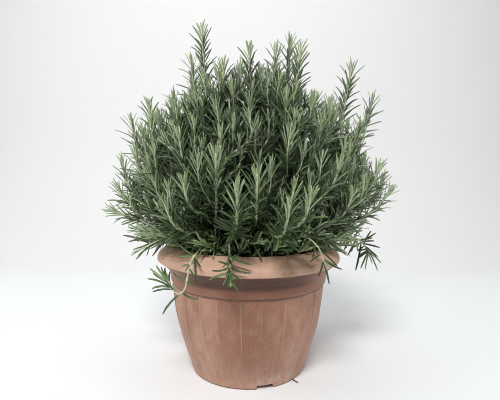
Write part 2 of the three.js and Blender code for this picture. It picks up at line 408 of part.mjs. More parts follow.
function buildBranch(stem) {
  const { name, length, rings, ringAt, levels } = stem;
  const main = name.startsWith('branch');
  const pos = [], idx = [];
  ringAt.forEach(({ p, f, r }) => {
    for (let c = 0; c < 4; c++) {
      const a = Math.PI / 4 + (c * Math.PI) / 2;
      const v = f.u.clone().multiplyScalar(Math.cos(a) * r).addScaledVector(f.v, Math.sin(a) * r);
      pos.push(p.x + v.x, p.y + v.y, p.z + v.z);
    }
  });
  idx.push(0, 3, 2, 0, 2, 1);
  // a branch stands flat on the crown
  if (main) for (let c = 0; c < 4; c++) pos[3 * c + 2] = CROWN_TOP_Z + GAP + 0.1;
  let tooClose = 0;
  for (let k = 0; k + 1 < rings.length; k++) {
    for (let c = 0; c < 4; c++) {
      const a = k * 4 + c, b = k * 4 + ((c + 1) % 4), d = a + 4, e = b + 4;
      const level = rings[k].leaf;
      let tip = null;
      if (level !== undefined && (c + level) % 2 === 0) {
        const { p, f, r } = ringAt[k];
        const ang = Math.PI / 2 + (c * Math.PI) / 2;
        const side = f.u.clone().multiplyScalar(Math.cos(ang)).addScaledVector(f.v, Math.sin(ang));
        const centre = p.clone().addScaledVector(f.t, 1.2).addScaledVector(side, r * 0.7);
        const young = level / (levels - 1);
        const wob = Math.sin(level * 2.3 + c * 1.7 + name.charCodeAt(name.length - 1));
        const full = LEAF_LENGTH * (1 - 0.32 * young * young) * (1 + 0.12 * wob);
        const lift0 = THREE.MathUtils.degToRad(52 - 30 * young + 6 * wob);
        for (const [scale, more] of [[1, 0], [1, -0.22], [1, 0.22], [0.75, 0], [0.75, -0.25], [0.5, 0], [0.4, -0.25]]) {
          const L = full * scale, lift = Math.max(0.2, lift0 + more);
          const end = leafTip(f, centre, side, lift, L);
          let ok = true;
          for (let q = 1; q <= L + 0.1 && ok; q += 1.2) {
            const x = centre.clone().lerp(end, q / L);
            if (blocked(x, LEAF_WIDTH * 0.55 * (1 - q / L) + 0.15, name, rings[k].s)) ok = false;
          }
          if (ok) { tip = end; for (let q = 1; q <= L; q += 1.2) occupy(centre.clone().lerp(end, q / L), LEAF_WIDTH * 0.55 * (1 - q / L) + 0.15, name, rings[k].s); break; }
        }
        if (!tip) tooClose++;
      }
      if (tip) {
        const t = pos.length / 3;
        pos.push(tip.x, tip.y, tip.z);
        idx.push(a, b, t, b, e, t, e, d, t, d, a, t);
      } else idx.push(a, b, e, a, e, d);
    }
  }
  // the youngest leaves close over the stem's end
  const endRing = ringAt[ringAt.length - 1], n = (rings.length - 1) * 4;
  const apex = within(endRing.p, endRing.p.clone().addScaledVector(endRing.f.t, TUFT));
  const tipId = pos.length / 3;
  pos.push(apex.x, apex.y, apex.z);
  for (let q = 2; q <= TUFT; q += 1.2) occupy(endRing.p.clone().lerp(apex, q / TUFT), 1.2 * (1 - q / TUFT) + 0.15, name, length);
  for (let c = 0; c < 4; c++) idx.push(n + c, n + ((c + 1) % 4), tipId);
  return { geometry: meshFrom(pos, idx), tooClose };
}

// ---- assembly -------------------------------------------------------------
const finish = {
  terracotta_plastic: new THREE.MeshStandardMaterial({ color: 0xa9735e, roughness: 0.62, metalness: 0 }),
  soil: new THREE.MeshStandardMaterial({ color: 0x2a211b, roughness: 0.95, metalness: 0 }),
  bark: new THREE.MeshStandardMaterial({ color: 0x77654c, roughness: 0.85, metalness: 0 }),
  foliage: new THREE.MeshStandardMaterial({ color: 0x4c6b45, roughness: 0.6, metalness: 0 }),
};

const plant = new THREE.Group();
function add(name, geometry, material) {
  geometry.computeVertexNormals();
  const mesh = new THREE.Mesh(geometry, material);
  mesh.name = name;
  plant.add(mesh);
}

add('pot', buildPot(), finish.terracotta_plastic);
add('potting_soil', buildSoil(), finish.soil);
add('root_crown', fromSolid(crownSolid(0)), finish.bark);

const stems = new Map();
for (const row of BRANCHES) stems.set(row[0], layStem(row, stems));
for (const stem of stems.values()) layRings(stem);
for (const row of BRANCHES) add(row[0], buildBranch(stems.get(row[0])).geometry, finish.foliage);

// the small root that comes out from under the foot
const rootlet = [[64.6, -62.4, 2.8], [66.8, -63.8, 2.0], [69.5, -66.5, 1.5], [72.7, -68, 1.2]]
  .map((q) => new THREE.Vector3(...q));
add('stray_rootlet', tube(rootlet, 0.9, 0.6, 6), finish.bark);

export default plant;
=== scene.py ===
# Potted rosemary plant: the looks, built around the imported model.
# Metres in the scene, millimetres in the tables below. +Z up, front faces -Y.
import bpy
import bmesh
import math
import numpy as np
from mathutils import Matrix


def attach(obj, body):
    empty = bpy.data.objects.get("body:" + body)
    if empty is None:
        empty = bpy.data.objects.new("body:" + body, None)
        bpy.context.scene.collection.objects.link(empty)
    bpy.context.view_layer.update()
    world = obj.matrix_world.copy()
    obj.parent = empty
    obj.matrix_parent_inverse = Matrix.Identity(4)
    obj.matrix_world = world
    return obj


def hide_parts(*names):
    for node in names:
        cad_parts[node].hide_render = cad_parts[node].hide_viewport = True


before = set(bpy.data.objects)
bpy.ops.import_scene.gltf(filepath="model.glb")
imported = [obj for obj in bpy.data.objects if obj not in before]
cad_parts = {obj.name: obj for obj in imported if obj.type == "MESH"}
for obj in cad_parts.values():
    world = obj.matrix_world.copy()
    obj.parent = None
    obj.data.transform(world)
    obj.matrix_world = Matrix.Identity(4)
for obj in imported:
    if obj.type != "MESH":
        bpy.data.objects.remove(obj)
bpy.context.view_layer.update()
MM = 0.001

# name, branch it grows from, stem radius at base and tip, points the stem passes through
BRANCHES = [
    ('branch_01', None, 3.30, 1.15, [[1.8, 14.4, 192], [-24.3, 17.6, 229.9], [-42.4, 19.6, 267.6], [-54.2, 20.7, 307], [-61.7, 21.4, 350.3], [-66.5, 21.9, 399.5], [-70.5, 22.8, 456.5], [-75.5, 24.3, 523.6]]),
    ('branch_02', None, 3.30, 1.15, [[-3, -4.5, 193], [-1.6, -3.9, 232.8], [-0.7, -3.1, 268.8], [-0.1, -2.2, 303.7], [0, -1.6, 340.2], [-0, -1.5, 380.8], [-0.2, -2.2, 428.2], [-0.5, -4, 485.2]]),
    ('branch_03', None, 3.30, 1.15, [[4, 4.5, 193], [24.6, 8, 230.1], [38.5, 10.4, 266], [47.2, 11.8, 302.8], [52.4, 12.6, 342.6], [55.6, 13.2, 387.6], [58.4, 13.7, 439.9], [62.4, 14.7, 501.6]]),
    ('branch_04', None, 3.30, 1.15, [[11.6, -8.8, 192], [44, -3.8, 218.6], [72.5, -0.6, 246.5], [96.4, 2.7, 276.7], [116.4, 5.4, 311.5], [132.8, 7.6, 352.6], [146.1, 9.1, 401.9], [156.5, 10, 461.3]]),
    ('branch_05', None, 3.30, 1.15, [[-7.9, 12.2, 192], [-37.8, 15.5, 214.2], [-66.2, 18.5, 235.6], [-92.3, 21.3, 258.3], [-115.6, 23.8, 284.6], [-135.3, 26, 316.7], [-150.8, 27.9, 356.8], [-161.6, 29.5, 407.1]]),
    ('branch_06', None, 3.30, 1.15, [[3.2, -14.1, 192], [37.4, -16.9, 205], [70.9, -14.8, 215.1], [104.7, -16.1, 226.9], [136.4, -17.7, 239.7], [163.1, -18.3, 256.7], [183.1, -19, 279.7], [194.3, -19.6, 310.5]]),
    ('branch_07', None, 3.30, 1.15, [[-13.9, 4.3, 192], [-45.4, 5.2, 203.8], [-79.6, 6.2, 213.7], [-114, 7.1, 222.8], [-146.3, 8, 232.3], [-173.8, 8.8, 243.5], [-194.3, 9.4, 257.3], [-205.3, 9.8, 275.2]]),
    ('branch_08', None, 3.30, 1.15, [[-6.6, -12.9, 192], [6.9, -31.8, 211.2], [19.3, -49.1, 229.9], [30.6, -64.6, 249.8], [40.3, -78.1, 272.6], [48.3, -89.4, 299.9], [54.3, -98.1, 333.2], [58.1, -104.2, 374.4]]),
    ('branch_09', None, 3.30, 1.15, [[-13.4, -5.6, 192], [-26.9, -26.1, 208.8], [-40.1, -46.3, 224.2], [-53.5, -66.5, 239.3], [-65.3, -84.8, 257.3], [-75.5, -100.5, 279.9], [-83.4, -112.4, 309.6], [-88.6, -119.8, 348.4]]),
    ('branch_10', None, 3.30, 1.15, [[10.6, 9.9, 192], [-6.2, 38.8, 217.9], [-21.6, 64.8, 243.8], [-35.2, 87.8, 271.8], [-47.4, 107.2, 304.4], [-57.3, 123.9, 343.1], [-64.4, 138.2, 389.9], [-69.6, 148.4, 447.9]]),
    ('branch_11', None, 3.30, 1.15, [[14.5, 0.7, 192], [28.7, 31.1, 217.7], [41.4, 58.8, 243.2], [52.9, 83.7, 270.7], [63, 105.3, 302.4], [71.5, 123.5, 340.5], [78.4, 138.1, 387.2], [83.9, 148.6, 444.8]]),
    ('shoot_01', 'branch_01', 1.90, 1.00, [[-62.7, 21.5, 358.8], [-70.8, 32.2, 374.3], [-78, 42.5, 390.6], [-84.5, 52, 409.2], [-90.1, 60, 430.7], [-94.7, 66.1, 455.9], [-98.3, 69.6, 485.3]]),
    ('shoot_02', 'branch_01', 1.90, 1.00, [[-58.2, 21.1, 327.1], [-54, 7.7, 342.4], [-48.9, -5.6, 358.3], [-44, -17.8, 376.4], [-40, -28.2, 397.5], [-37.7, -35.7, 422.4], [-37.8, -39.5, 451.9]]),
    ('shoot_03', 'branch_02', 1.90, 1.00, [[0.1, -1.6, 343.8], [-4.1, 11.8, 357.7], [-8.1, 25, 373.6], [-11.9, 37.1, 391.8], [-15, 47.5, 413], [-17.4, 55.2, 438], [-18.8, 59.6, 467.5]]),
    ('shoot_04', 'branch_03', 1.90, 1.00, [[54.2, 12.9, 365.9], [50.9, 21, 383.8], [47.5, 28, 402.2], [44.3, 33.9, 422.3], [42, 38.7, 444.8], [40.9, 42.2, 470.4], [41.5, 44.6, 499.9]]),
    ('shoot_05', 'branch_03', 1.90, 1.00, [[52.8, 12.7, 346.6], [57.5, 2.4, 362.4], [61.3, -7.2, 380.1], [64.6, -15.7, 399.9], [67.3, -22.7, 422.5], [69.9, -27.6, 448.4], [72.4, -30.1, 478.3]]),
    ('shoot_06', 'branch_04', 1.90, 1.00, [[97.2, 2.8, 278], [106.4, 21.4, 293], [114.5, 41, 310.6], [121.4, 59.8, 331.4], [127.5, 76.3, 356.5], [133, 88.8, 387], [138, 95.6, 424]]),
    ('shoot_07', 'branch_04', 1.90, 1.00, [[115.7, 5.3, 310.1], [131.9, 12, 321.2], [148.7, 19.4, 333.6], [164.9, 26.7, 348.5], [179.5, 33.1, 366.9], [191.2, 37.9, 390], [199, 40.5, 418.8]]),
    ('shoot_08', 'branch_04', 1.90, 1.00, [[84.2, 0.9, 260.1], [97.6, -10.4, 270.3], [111.5, -23.2, 282.4], [124.7, -36, 297], [136.3, -47.4, 315.3], [145.7, -56, 338.4], [151.9, -60.3, 367.2]]),
    ('shoot_09', 'branch_06', 1.90, 1.00, [[110.3, -16.4, 229], [128.2, -10.5, 234.6], [149.3, -3.4, 238.9], [170.7, 4.9, 243.8], [190.2, 12.5, 252.5], [205.2, 18.2, 267.9], [213.5, 20.9, 293.1]]),
    ('shoot_10', 'branch_01', 1.90, 1.00, [[-44.1, 19.7, 272], [-57, 6.1, 284.5], [-70.2, -8.8, 299.1], [-82.7, -23.5, 316.4], [-93.6, -36.4, 337.5], [-102.3, -45.9, 363.7], [-107.9, -50.6, 396]]),
    ('shoot_11', 'branch_05', 1.90, 1.00, [[-98.6, 22, 264.7], [-115, 15.8, 275.9], [-131.3, 8.8, 288.8], [-146.6, 1.8, 304.5], [-160.1, -4.4, 323.8], [-170.8, -8.9, 347.5], [-177.9, -10.7, 376.6]]),
    ('shoot_12', 'branch_07', 1.90, 1.00, [[-131.3, 7.6, 227.7], [-147, 16.5, 235.6], [-164.2, 27.2, 244.4], [-180.8, 38.3, 255.5], [-195.6, 48.4, 270.4], [-206.9, 56.1, 290.8], [-213.5, 60.1, 318.1]]),
    ('shoot_13', 'branch_08', 1.90, 1.00, [[30.9, -65.2, 250.6], [44.9, -72, 263.1], [58.6, -77.9, 277.9], [71.3, -82.9, 295.5], [82.1, -87.2, 316.5], [90.3, -90.8, 341.4], [95.2, -93.8, 370.8]]),
    ('shoot_14', 'branch_03', 1.90, 1.00, [[41.9, 10.9, 278.1], [43.8, -5.4, 292.1], [45, -22.3, 307.6], [45.8, -38.3, 325.7], [46.5, -52.2, 347.2], [47.4, -62.5, 373], [48.8, -67.9, 404.1]]),
    ('shoot_15', 'branch_02', 1.90, 1.00, [[-1.5, -3.9, 234.9], [-5.7, -21.4, 250], [-10, -39.2, 267], [-14.1, -56.2, 286.6], [-17.7, -71, 310], [-20.5, -82.3, 338.2], [-22.1, -88.6, 372.2]]),
    ('shoot_16', 'branch_09', 1.90, 1.00, [[-58.3, -73.9, 245.9], [-53.9, -86, 256.7], [-48.7, -96.8, 269.9], [-43.4, -106.1, 285.6], [-38.8, -113.8, 304], [-35.8, -119.8, 325.7], [-35.2, -124, 350.9]]),
    ('shoot_17', 'branch_02', 1.90, 1.00, [[-2.2, -4.2, 216], [-0, -24.8, 231.6], [2.1, -46.6, 248.2], [4.1, -67.8, 267.6], [5.9, -86.4, 291.1], [7.2, -100.7, 320.3], [7.9, -108.8, 356.4]]),
    ('shoot_18', 'branch_09', 1.90, 1.00, [[-47, -56.7, 231.7], [-44.7, -71.8, 237.7], [-43.5, -91.6, 247.7], [-41.9, -111.1, 260], [-40.4, -128.5, 276], [-39.5, -142, 297.1], [-39.8, -149.7, 324.4]]),
    ('shoot_19', 'branch_09', 1.90, 1.00, [[-52.3, -64.7, 237.8], [-55.9, -80.1, 241.5], [-61.9, -95.7, 247], [-66.9, -113, 251.6], [-71.6, -129, 258.9], [-75.6, -141.7, 271], [-78.5, -149.2, 290]]),
    ('shoot_20', 'branch_09', 1.90, 1.00, [[-42.8, -50.4, 227.2], [-55, -52, 229.3], [-74.1, -60.2, 236.6], [-93.8, -68.2, 245.4], [-111.8, -75.3, 257.6], [-125.9, -81.1, 275.4], [-134, -85, 300.6]]),
    ('shoot_21', 'branch_09', 1.90, 1.00, [[-25.8, -24.6, 207.5], [-22.4, -51.2, 215.6], [-21.6, -82.4, 220.5], [-19.1, -115.6, 224.9], [-15.7, -146.6, 234.3], [-13.4, -171.7, 252.9], [-12.8, -187.1, 285]]),
    ('shoot_22', 'branch_08', 1.90, 1.00, [[5.9, -30.4, 209.7], [7.3, -53.4, 219.1], [8.6, -80, 227], [9, -107.6, 236.3], [9.2, -132.9, 249.8], [9.3, -153, 270.6], [9.6, -164.6, 301.3]]),
    ('shoot_23', 'branch_08', 1.90, 1.00, [[12.1, -39, 218.8], [16.1, -64.5, 221.7], [24.3, -91.8, 224.8], [30.9, -122.8, 223.4], [36.9, -151.9, 226.5], [41.9, -175.4, 239.4], [45.3, -189.5, 267.6]]),
    ('shoot_24', 'branch_08', 1.90, 1.00, [[19.6, -49.5, 230.4], [25.1, -68.1, 230.3], [36.2, -93.8, 234.2], [46.7, -121.6, 234.3], [56.5, -147.8, 238.3], [64.5, -169.2, 251], [69.5, -182.5, 277]]),
    ('shoot_25', 'branch_08', 1.90, 1.00, [[23.2, -54.5, 236.3], [39, -64.4, 244.1], [57.9, -75.5, 250.9], [77.4, -86.7, 258.8], [95.2, -96.9, 270.3], [108.9, -105, 287.6], [116.1, -109.9, 313]]),
    ('shoot_26', 'branch_06', 1.90, 1.00, [[48.1, -16.4, 208.4], [59.3, -26.9, 212.8], [77.5, -42.7, 217.7], [96.9, -59.7, 222.3], [114.6, -74.5, 232.5], [129.2, -87, 248.6], [138.7, -94.5, 274.6]]),
    ('shoot_27', 'branch_09', 1.90, 1.00, [[-34.6, -37.9, 217.8], [-39.1, -53.7, 216.1], [-56.3, -72.7, 221.6], [-70.2, -94.9, 222.6], [-83.4, -115.8, 227.3], [-94.4, -133, 239.6], [-101.6, -143.9, 263.2]]),
    ('shoot_28', 'branch_10', 1.90, 1.00, [[-47, 106.5, 303], [-49, 120, 317.8], [-52.5, 127.1, 337], [-54.7, 133.4, 357.7], [-56.2, 138.9, 381.1], [-57.5, 143.6, 407.8], [-59.1, 148, 438.1]]),
    ('shoot_29', 'branch_11', 1.90, 1.00, [[63.8, 107.1, 305.7], [62.4, 120.1, 319.7], [61.4, 130.5, 336.6], [59.8, 139.6, 355.9], [58.4, 147.1, 378.1], [57.9, 153.3, 403.7], [58.7, 158.3, 433]]),
    ('shoot_30', 'branch_10', 1.90, 1.00, [[-40.2, 95.8, 283.9], [-57.4, 100.9, 294.4], [-76.1, 105.1, 306.6], [-94.4, 108.7, 321.4], [-110.6, 112, 339.9], [-123.1, 115.2, 363.2], [-130.1, 118.4, 392.4]]),
    ('shoot_31', 'branch_11', 1.90, 1.00, [[57, 92.5, 282.4], [71.6, 99.6, 294], [86.6, 105.8, 307.8], [101, 111.2, 324.4], [113.6, 115.9, 344.4], [123.3, 120, 368.6], [129.2, 123.6, 397.6]]),
    ('shoot_32', 'branch_05', 1.90, 1.00, [[-78.7, 19.9, 245.9], [-95.9, 33.7, 252.9], [-116.8, 51.5, 256.6], [-138.4, 70.7, 260.5], [-158.5, 88.5, 268.5], [-174.4, 102.4, 284.4], [-184, 109.8, 312.1]]),
    ('shoot_33', 'branch_11', 1.90, 1.00, [[31.2, 36.5, 222.5], [54.8, 50, 232], [84.1, 65.8, 238.8], [115.1, 81.6, 246.5], [143.8, 96.1, 259.3], [166.5, 107.5, 281.4], [179.3, 114.5, 317]]),
    ('shoot_34', 'branch_10', 1.90, 1.00, [[-28.1, 75.9, 256.4], [-38.2, 93.3, 263.2], [-50.6, 114.8, 267.5], [-63.6, 137.4, 272.2], [-75.6, 158.3, 280.6], [-85, 174.9, 296.1], [-90.1, 184.3, 321.9]]),
    ('shoot_35', 'branch_11', 1.90, 1.00, [[46.9, 70.8, 255.6], [54.5, 89.7, 262], [63.8, 113.4, 265.5], [73.6, 138.2, 269.1], [82.7, 161.2, 276.5], [90, 179.3, 291.2], [94.4, 189.5, 316.8]]),
    ('shoot_36', 'branch_10', 1.90, 1.00, [[-12.7, 49.8, 228.4], [-9.9, 74.3, 238.3], [-5.5, 103, 246.5], [-0.4, 132.3, 256], [4.6, 158.8, 270.3], [8.5, 179, 292.8], [10.2, 189.5, 326.9]]),
    ('sprig_01', 'branch_09', 1.70, 0.95, [[-30.5, -31.7, 213.1], [-28.3, -62.6, 216.3], [-24.9, -92, 214.2], [-24.8, -120, 212.6], [-23.2, -143, 200.8], [-22.2, -153, 178.6]]),
    ('sprig_02', 'branch_09', 1.70, 0.95, [[-38.7, -44.1, 222.5], [-49.5, -54, 215], [-61.8, -72, 203.8], [-65.9, -102, 198.6], [-72.3, -133, 189.8], [-76.5, -136, 169], [-80.2, -133, 155.4], [-89.8, -129, 148.7], [-102.6, -124, 155.3]]),
    ('sprig_03', 'branch_07', 1.70, 0.95, [[-53.2, 5.4, 206.3], [-65, -16.6, 221.4], [-82.9, -38.4, 230.5], [-103.6, -56.6, 218.4], [-125.8, -70.1, 206.5], [-148.8, -80, 195.6]]),
    ('sprig_04', 'branch_07', 1.70, 0.95, [[-43, 5.1, 203], [-50.8, -14.3, 215.8], [-58.3, -33.7, 220.5], [-117.6, -23.8, 221.9], [-165.2, -21.9, 229.4], [-203.3, -25, 242]]),
    ('sprig_05', 'branch_08', 1.70, 0.95, [[15.9, -44.4, 224.5], [40, -53.5, 220.7], [66.6, -66, 212.6], [80.5, -86, 213.2], [90.6, -108, 205.1], [97.2, -116, 188.4]]),
    ('sprig_06', 'branch_06', 1.70, 0.95, [[57, -15.6, 210.9], [61.3, -18.3, 219.8], [78.4, -22.3, 219.4], [130.2, -13.2, 212.5], [167, -9.5, 199.1], [188.7, -10, 178.4]]),
    ('sprig_07', 'branch_06', 1.70, 0.95, [[39.3, -16.9, 205.6], [58.7, -34, 219.5], [82.5, -49.5, 225.2], [127.4, -65.5, 230.2], [169.7, -62.6, 244], [198.8, -55, 276.5]]),
]

REACH_X, REACH_Y, TOP = 222.5, 197.0, 540.0
TUFT = 17.0

# ---------------------------------------------------------------- helpers
def material(name):
    m = bpy.data.materials.new(name)
    m.use_nodes = True
    nt = m.node_tree
    nt.nodes.clear()
    out = nt.nodes.new("ShaderNodeOutputMaterial")
    sh = nt.nodes.new("ShaderNodeBsdfPrincipled")
    nt.links.new(sh.outputs[0], out.inputs[0])
    return m, nt, sh


class Nodes:
    """Short calls for building a node tree."""

    def __init__(self, nt):
        self.nt = nt

    def new(self, kind, **props):
        n = self.nt.nodes.new(kind)
        for k, v in props.items():
            setattr(n, k, v)
        return n

    def put(self, sock, v):
        if isinstance(v, bpy.types.NodeSocket):
            self.nt.links.new(v, sock)
        else:
            sock.default_value = v

    def math(self, op, a, b=0.0, c=0.0, clamp=False):
        n = self.new("ShaderNodeMath", operation=op, use_clamp=clamp)
        self.put(n.inputs[0], a)
        self.put(n.inputs[1], b)
        self.put(n.inputs[2], c)
        return n.outputs[0]

    def mix(self, f, a, b, blend="MIX"):
        n = self.new("ShaderNodeMix", data_type="RGBA", blend_type=blend)
        self.put(n.inputs[0], f)
        self.put(n.inputs[6], a if isinstance(a, bpy.types.NodeSocket) else (*a, 1.0))
        self.put(n.inputs[7], b if isinstance(b, bpy.types.NodeSocket) else (*b, 1.0))
        return n.outputs[2]

    def ramp(self, f, stops, interp="LINEAR"):
        n = self.new("ShaderNodeValToRGB")
        n.color_ramp.interpolation = interp
        el = n.color_ramp.elements
        while len(el) < len(stops):
            el.new(0.5)
        for e, (p, c) in zip(el, stops):
            e.position = p
            e.color = (c, c, c, 1.0) if isinstance(c, float) else (*c, 1.0)
        self.put(n.inputs[0], f)
        return n.outputs[0]

    def noise(self, vec, scale, detail=4.0, rough=0.55, dist=0.0):
        n = self.new("ShaderNodeTexNoise")
        self.put(n.inputs["Vector"], vec)
        n.inputs["Scale"].default_value = scale
        n.inputs["Detail"].default_value = detail
        n.inputs["Roughness"].default_value = rough
        n.inputs["Distortion"].default_value = dist
        return n.outputs["Fac"]

    def voronoi(self, vec, scale, feature="F1"):
        n = self.new("ShaderNodeTexVoronoi", feature=feature)
        self.put(n.inputs["Vector"], vec)
        n.inputs["Scale"].default_value = scale
        return n.outputs["Distance"]

    def coords(self):
        return self.new("ShaderNodeTexCoord")

    def scaled(self, vec, sx, sy, sz):
        n = self.new("ShaderNodeMapping")
        self.put(n.inputs["Vector"], vec)
        n.inputs["Scale"].default_value = (sx, sy, sz)
        return n.outputs[0]

    def bump(self, height, strength, distance, normal=None):
        n = self.new("ShaderNodeBump")
        n.inputs["Strength"].default_value = strength
        n.inputs["Distance"].default_value = distance
        self.put(n.inputs["Height"], height)
        if normal is not None:
            self.put(n.inputs["Normal"], normal)
        return n.outputs[0]

    def smooth(self, v, lo, hi):
        n = self.new("ShaderNodeMapRange", interpolation_type="SMOOTHSTEP")
        self.put(n.inputs["Value"], v)
        n.inputs["From Min"].default_value = lo
        n.inputs["From Max"].default_value = hi
        return n.outputs[0]


def mesh_object(name, verts, faces, mats, smooth=True, mat_ids=None, uv=None):
    me = bpy.data.meshes.new(name)
    me.from_pydata([tuple(map(float, v)) for v in verts], [], faces)
    me.update()
    for m in mats:
        me.materials.append(m)
    if mat_ids is not None:
        me.polygons.foreach_set("material_index", np.asarray(mat_ids, np.int32))
    me.polygons.foreach_set("use_smooth", np.full(len(me.polygons), smooth))
    if uv is not None:
        layer = me.uv_layers.new(name="OFBake")
        layer.data.foreach_set("uv", np.asarray(uv, np.float32).ravel())
    ob = bpy.data.objects.new(name, me)
    bpy.context.scene.collection.objects.link(ob)
    return ob


def big_mesh(name, V, quads, tris, mats, qm, tm, quv, tuv):
    """Fast mesh from arrays: quads then triangles, with a map."""
    me = bpy.data.meshes.new(name)
    nq, nt = len(quads), len(tris)
    me.vertices.add(len(V))
    me.vertices.foreach_set("co", np.asarray(V, np.float32).ravel())
    loops = np.concatenate([quads.ravel(), tris.ravel()]).astype(np.int32)
    me.loops.add(len(loops))
    me.loops.foreach_set("vertex_index", loops)
    me.polygons.add(nq + nt)
    starts = np.concatenate([np.arange(nq) * 4, nq * 4 + np.arange(nt) * 3]).astype(np.int32)
    me.polygons.foreach_set("loop_start", starts)
    me.polygons.foreach_set("material_index", np.concatenate([qm, tm]).astype(np.int32))
    me.polygons.foreach_set("use_smooth", np.ones(nq + nt, bool))
    for m in mats:
        me.materials.append(m)
    layer = me.uv_layers.new(name="OFBake")
    layer.data.foreach_set("uv", np.concatenate([quv.reshape(-1, 2), tuv.reshape(-1, 2)]).astype(np.float32).ravel())
    me.update(calc_edges=True)
    me.validate(verbose=False)
    ob = bpy.data.objects.new(name, me)
    bpy.context.scene.collection.objects.link(ob)
    return ob


# ---------------------------------------------------------------- camera, light, floor
CAM_BACK, CAM_UP, CAM_DOWN, LENS_PX = 650.0, 310.0, 4.58, 421.0
cam_data = bpy.data.cameras.new("camera")
cam = bpy.data.objects.new("camera", cam_data)
bpy.context.scene.collection.objects.link(cam)
cam_data.sensor_width = 36.0
cam_data.sensor_fit = "HORIZONTAL"
cam_data.lens = LENS_PX / 500.0 * 36.0
cam_data.shift_x = 0.0018
cam_data.clip_start = 0.02
cam.location = (0, -CAM_BACK * MM, CAM_UP * MM)
cam.rotation_euler = (math.radians(90 - CAM_DOWN), math.radians(-0.35), 0)
bpy.context.scene.camera = cam


def area(name, loc, aim, size, power, colour=(1, 1, 1)):
    d = bpy.data.lights.new(name, "AREA")
    d.shape = "RECTANGLE"
    d.size, d.size_y = size
    d.energy = power
    d.color = colour
    o = bpy.data.objects.new(name, d)
    bpy.context.scene.collection.objects.link(o)
    o.location = loc
    v = np.array(aim) - np.array(loc)
    from mathutils import Vector
    o.rotation_euler = Vector(v).to_track_quat("-Z", "Y").to_euler()
    return o


bpy.context.scene.view_settings.view_transform = "Standard"
bpy.context.scene.cycles.filter_width = 1.0
area("key", (-0.30, -1.50, 1.90), (0, 0, 0.2), (0.86, 0.34), 41.0, (1.0, 0.996, 0.988))
area("top", (0.0, 0.35, 1.75), (0, 0.02, 0.2), (1.2, 1.0), 4.0)
area("left", (-1.35, -0.20, 0.80), (0, 0, 0.2), (0.8, 1.1), 6.2)
area("right", (1.35, -0.20, 0.70), (0, 0, 0.2), (0.8, 1.0), 4.6)
area("backdrop", (-0.2, 0.1, 1.9), (-0.2, 1.05, 0.7), (1.8, 0.6), 4.6)

world = bpy.data.worlds.new("studio")
bpy.context.scene.world = world
world.use_nodes = True
bg = world.node_tree.nodes["Background"]
bg.inputs[0].default_value = (1.0, 0.995, 0.985, 1)
bg.inputs[1].default_value = 0.045
# the studio's walls look pale, and light the plant only a little
wt = world.node_tree
seen = wt.nodes.new("ShaderNodeLightPath")
pale = wt.nodes.new("ShaderNodeBackground")
pale.inputs[0].default_value = (0.86, 0.86, 0.855, 1)
pale.inputs[1].default_value = 1.0
both = wt.nodes.new("ShaderNodeMixShader")
wt.links.new(seen.outputs["Is Camera Ray"], both.inputs[0])
wt.links.new(bg.outputs[0], both.inputs[1])
wt.links.new(pale.outputs[0], both.inputs[2])
wt.links.new(both.outputs[0], wt.nodes["World Output"].inputs[0])

# floor that sweeps up behind, one smooth pale sheet
sweep = [(-0.85, 0.0), (-0.5, 0.0), (0.35, 0.0), (0.6, 0.0)]
for k in range(1, 13):
    t = math.radians(90 * k / 12)
    sweep.append((0.6 + 0.45 * math.sin(t), 0.45 * (1 - math.cos(t))))
sweep += [(1.05, 0.8), (1.05, 1.3)]
fv, ff = [], []
for y, z in sweep:
    for x in (-1.35, -0.6, 0.0, 0.6, 1.35):
        fv.append((x, y, z))
for i in range(len(sweep) - 1):
    for j in range(4):
        a = i * 5 + j
        ff.append((a, a + 1, a + 6, a + 5))
m_floor, nt, sh = material("floor_paper")
N = Nodes(nt)
co = N.coords().outputs["Object"]
tone = N.noise(co, 3.0, 3.0, 0.5)
paper = N.mix(tone, (0.925, 0.95, 0.970), (0.955, 0.98, 0.995))
fsep = N.new("ShaderNodeSeparateXYZ")
N.put(fsep.inputs[0], co)
paper = N.mix(N.smooth(fsep.outputs[1], 0.30, 0.95), paper, (0.895, 0.895, 0.895))
N.put(sh.inputs["Base Color"], paper)
sh.inputs["Roughness"].default_value = 0.9
N.put(sh.inputs["Normal"], N.bump(N.noise(co, 60.0, 3.0), 0.05, 0.001))
floor = mesh_object("floor", fv, ff, [m_floor])

# ---------------------------------------------------------------- pot
OUTSIDE = [(87.0, 0.0), (88.0, 0.9), (88.6, 4), (89.5, 9.0), (90.2, 11.6), (91.3, 14.6), (98.9, 35), (107.2, 65),
           (111.6, 85), (114.0, 104), (115.6, 121), (116.3, 134.6), (116.6, 137.3), (118.9, 138.4), (119.3, 140.2),
           (120.4, 150), (122.8, 157), (125.6, 160.8), (131.4, 165.6)]
LIP = [(137.2, 170.2), (139.1, 171.5), (139.7, 172.4), (139.6, 174.6), (138.8, 178.2), (136.4, 181.6), (128.4, 186.9),
       (121.0, 190.6), (117.2, 192.2), (114.6, 192.9), (112.4, 192.3), (111.3, 190.6)]
INSIDE = [(111.2, 188.0), (111.8, 184), (115.2, 151), (113.0, 124), (108.4, 85), (104.0, 65), (95.6, 35), (86.8, 13), (85.4, 9.5)]
FLUTES, FLUTE_AT, FLUTE_HALF, FLUTE_DEEP = 12, -12.5, 7.5, 1.7


def dense(points, step):
    out = []
    for (a, b), (c, d) in zip(points[:-1], points[1:]):
        n = max(1, int(math.ceil(math.hypot(c - a, d - b) / step)))
        for k in range(n):
            out.append((a + (c - a) * k / n, b + (d - b) * k / n))
    out.append(points[-1])
    return out


def rounded(points, passes=2):
    for _ in range(passes):
        out = [points[0]]
        for (a, b), (c, d) in zip(points[:-1], points[1:]):
            out.append((a * 0.75 + c * 0.25, b * 0.75 + d * 0.25))
            out.append((a * 0.25 + c * 0.75, b * 0.25 + d * 0.75))
        out.append(points[-1])
        points = out
    return points


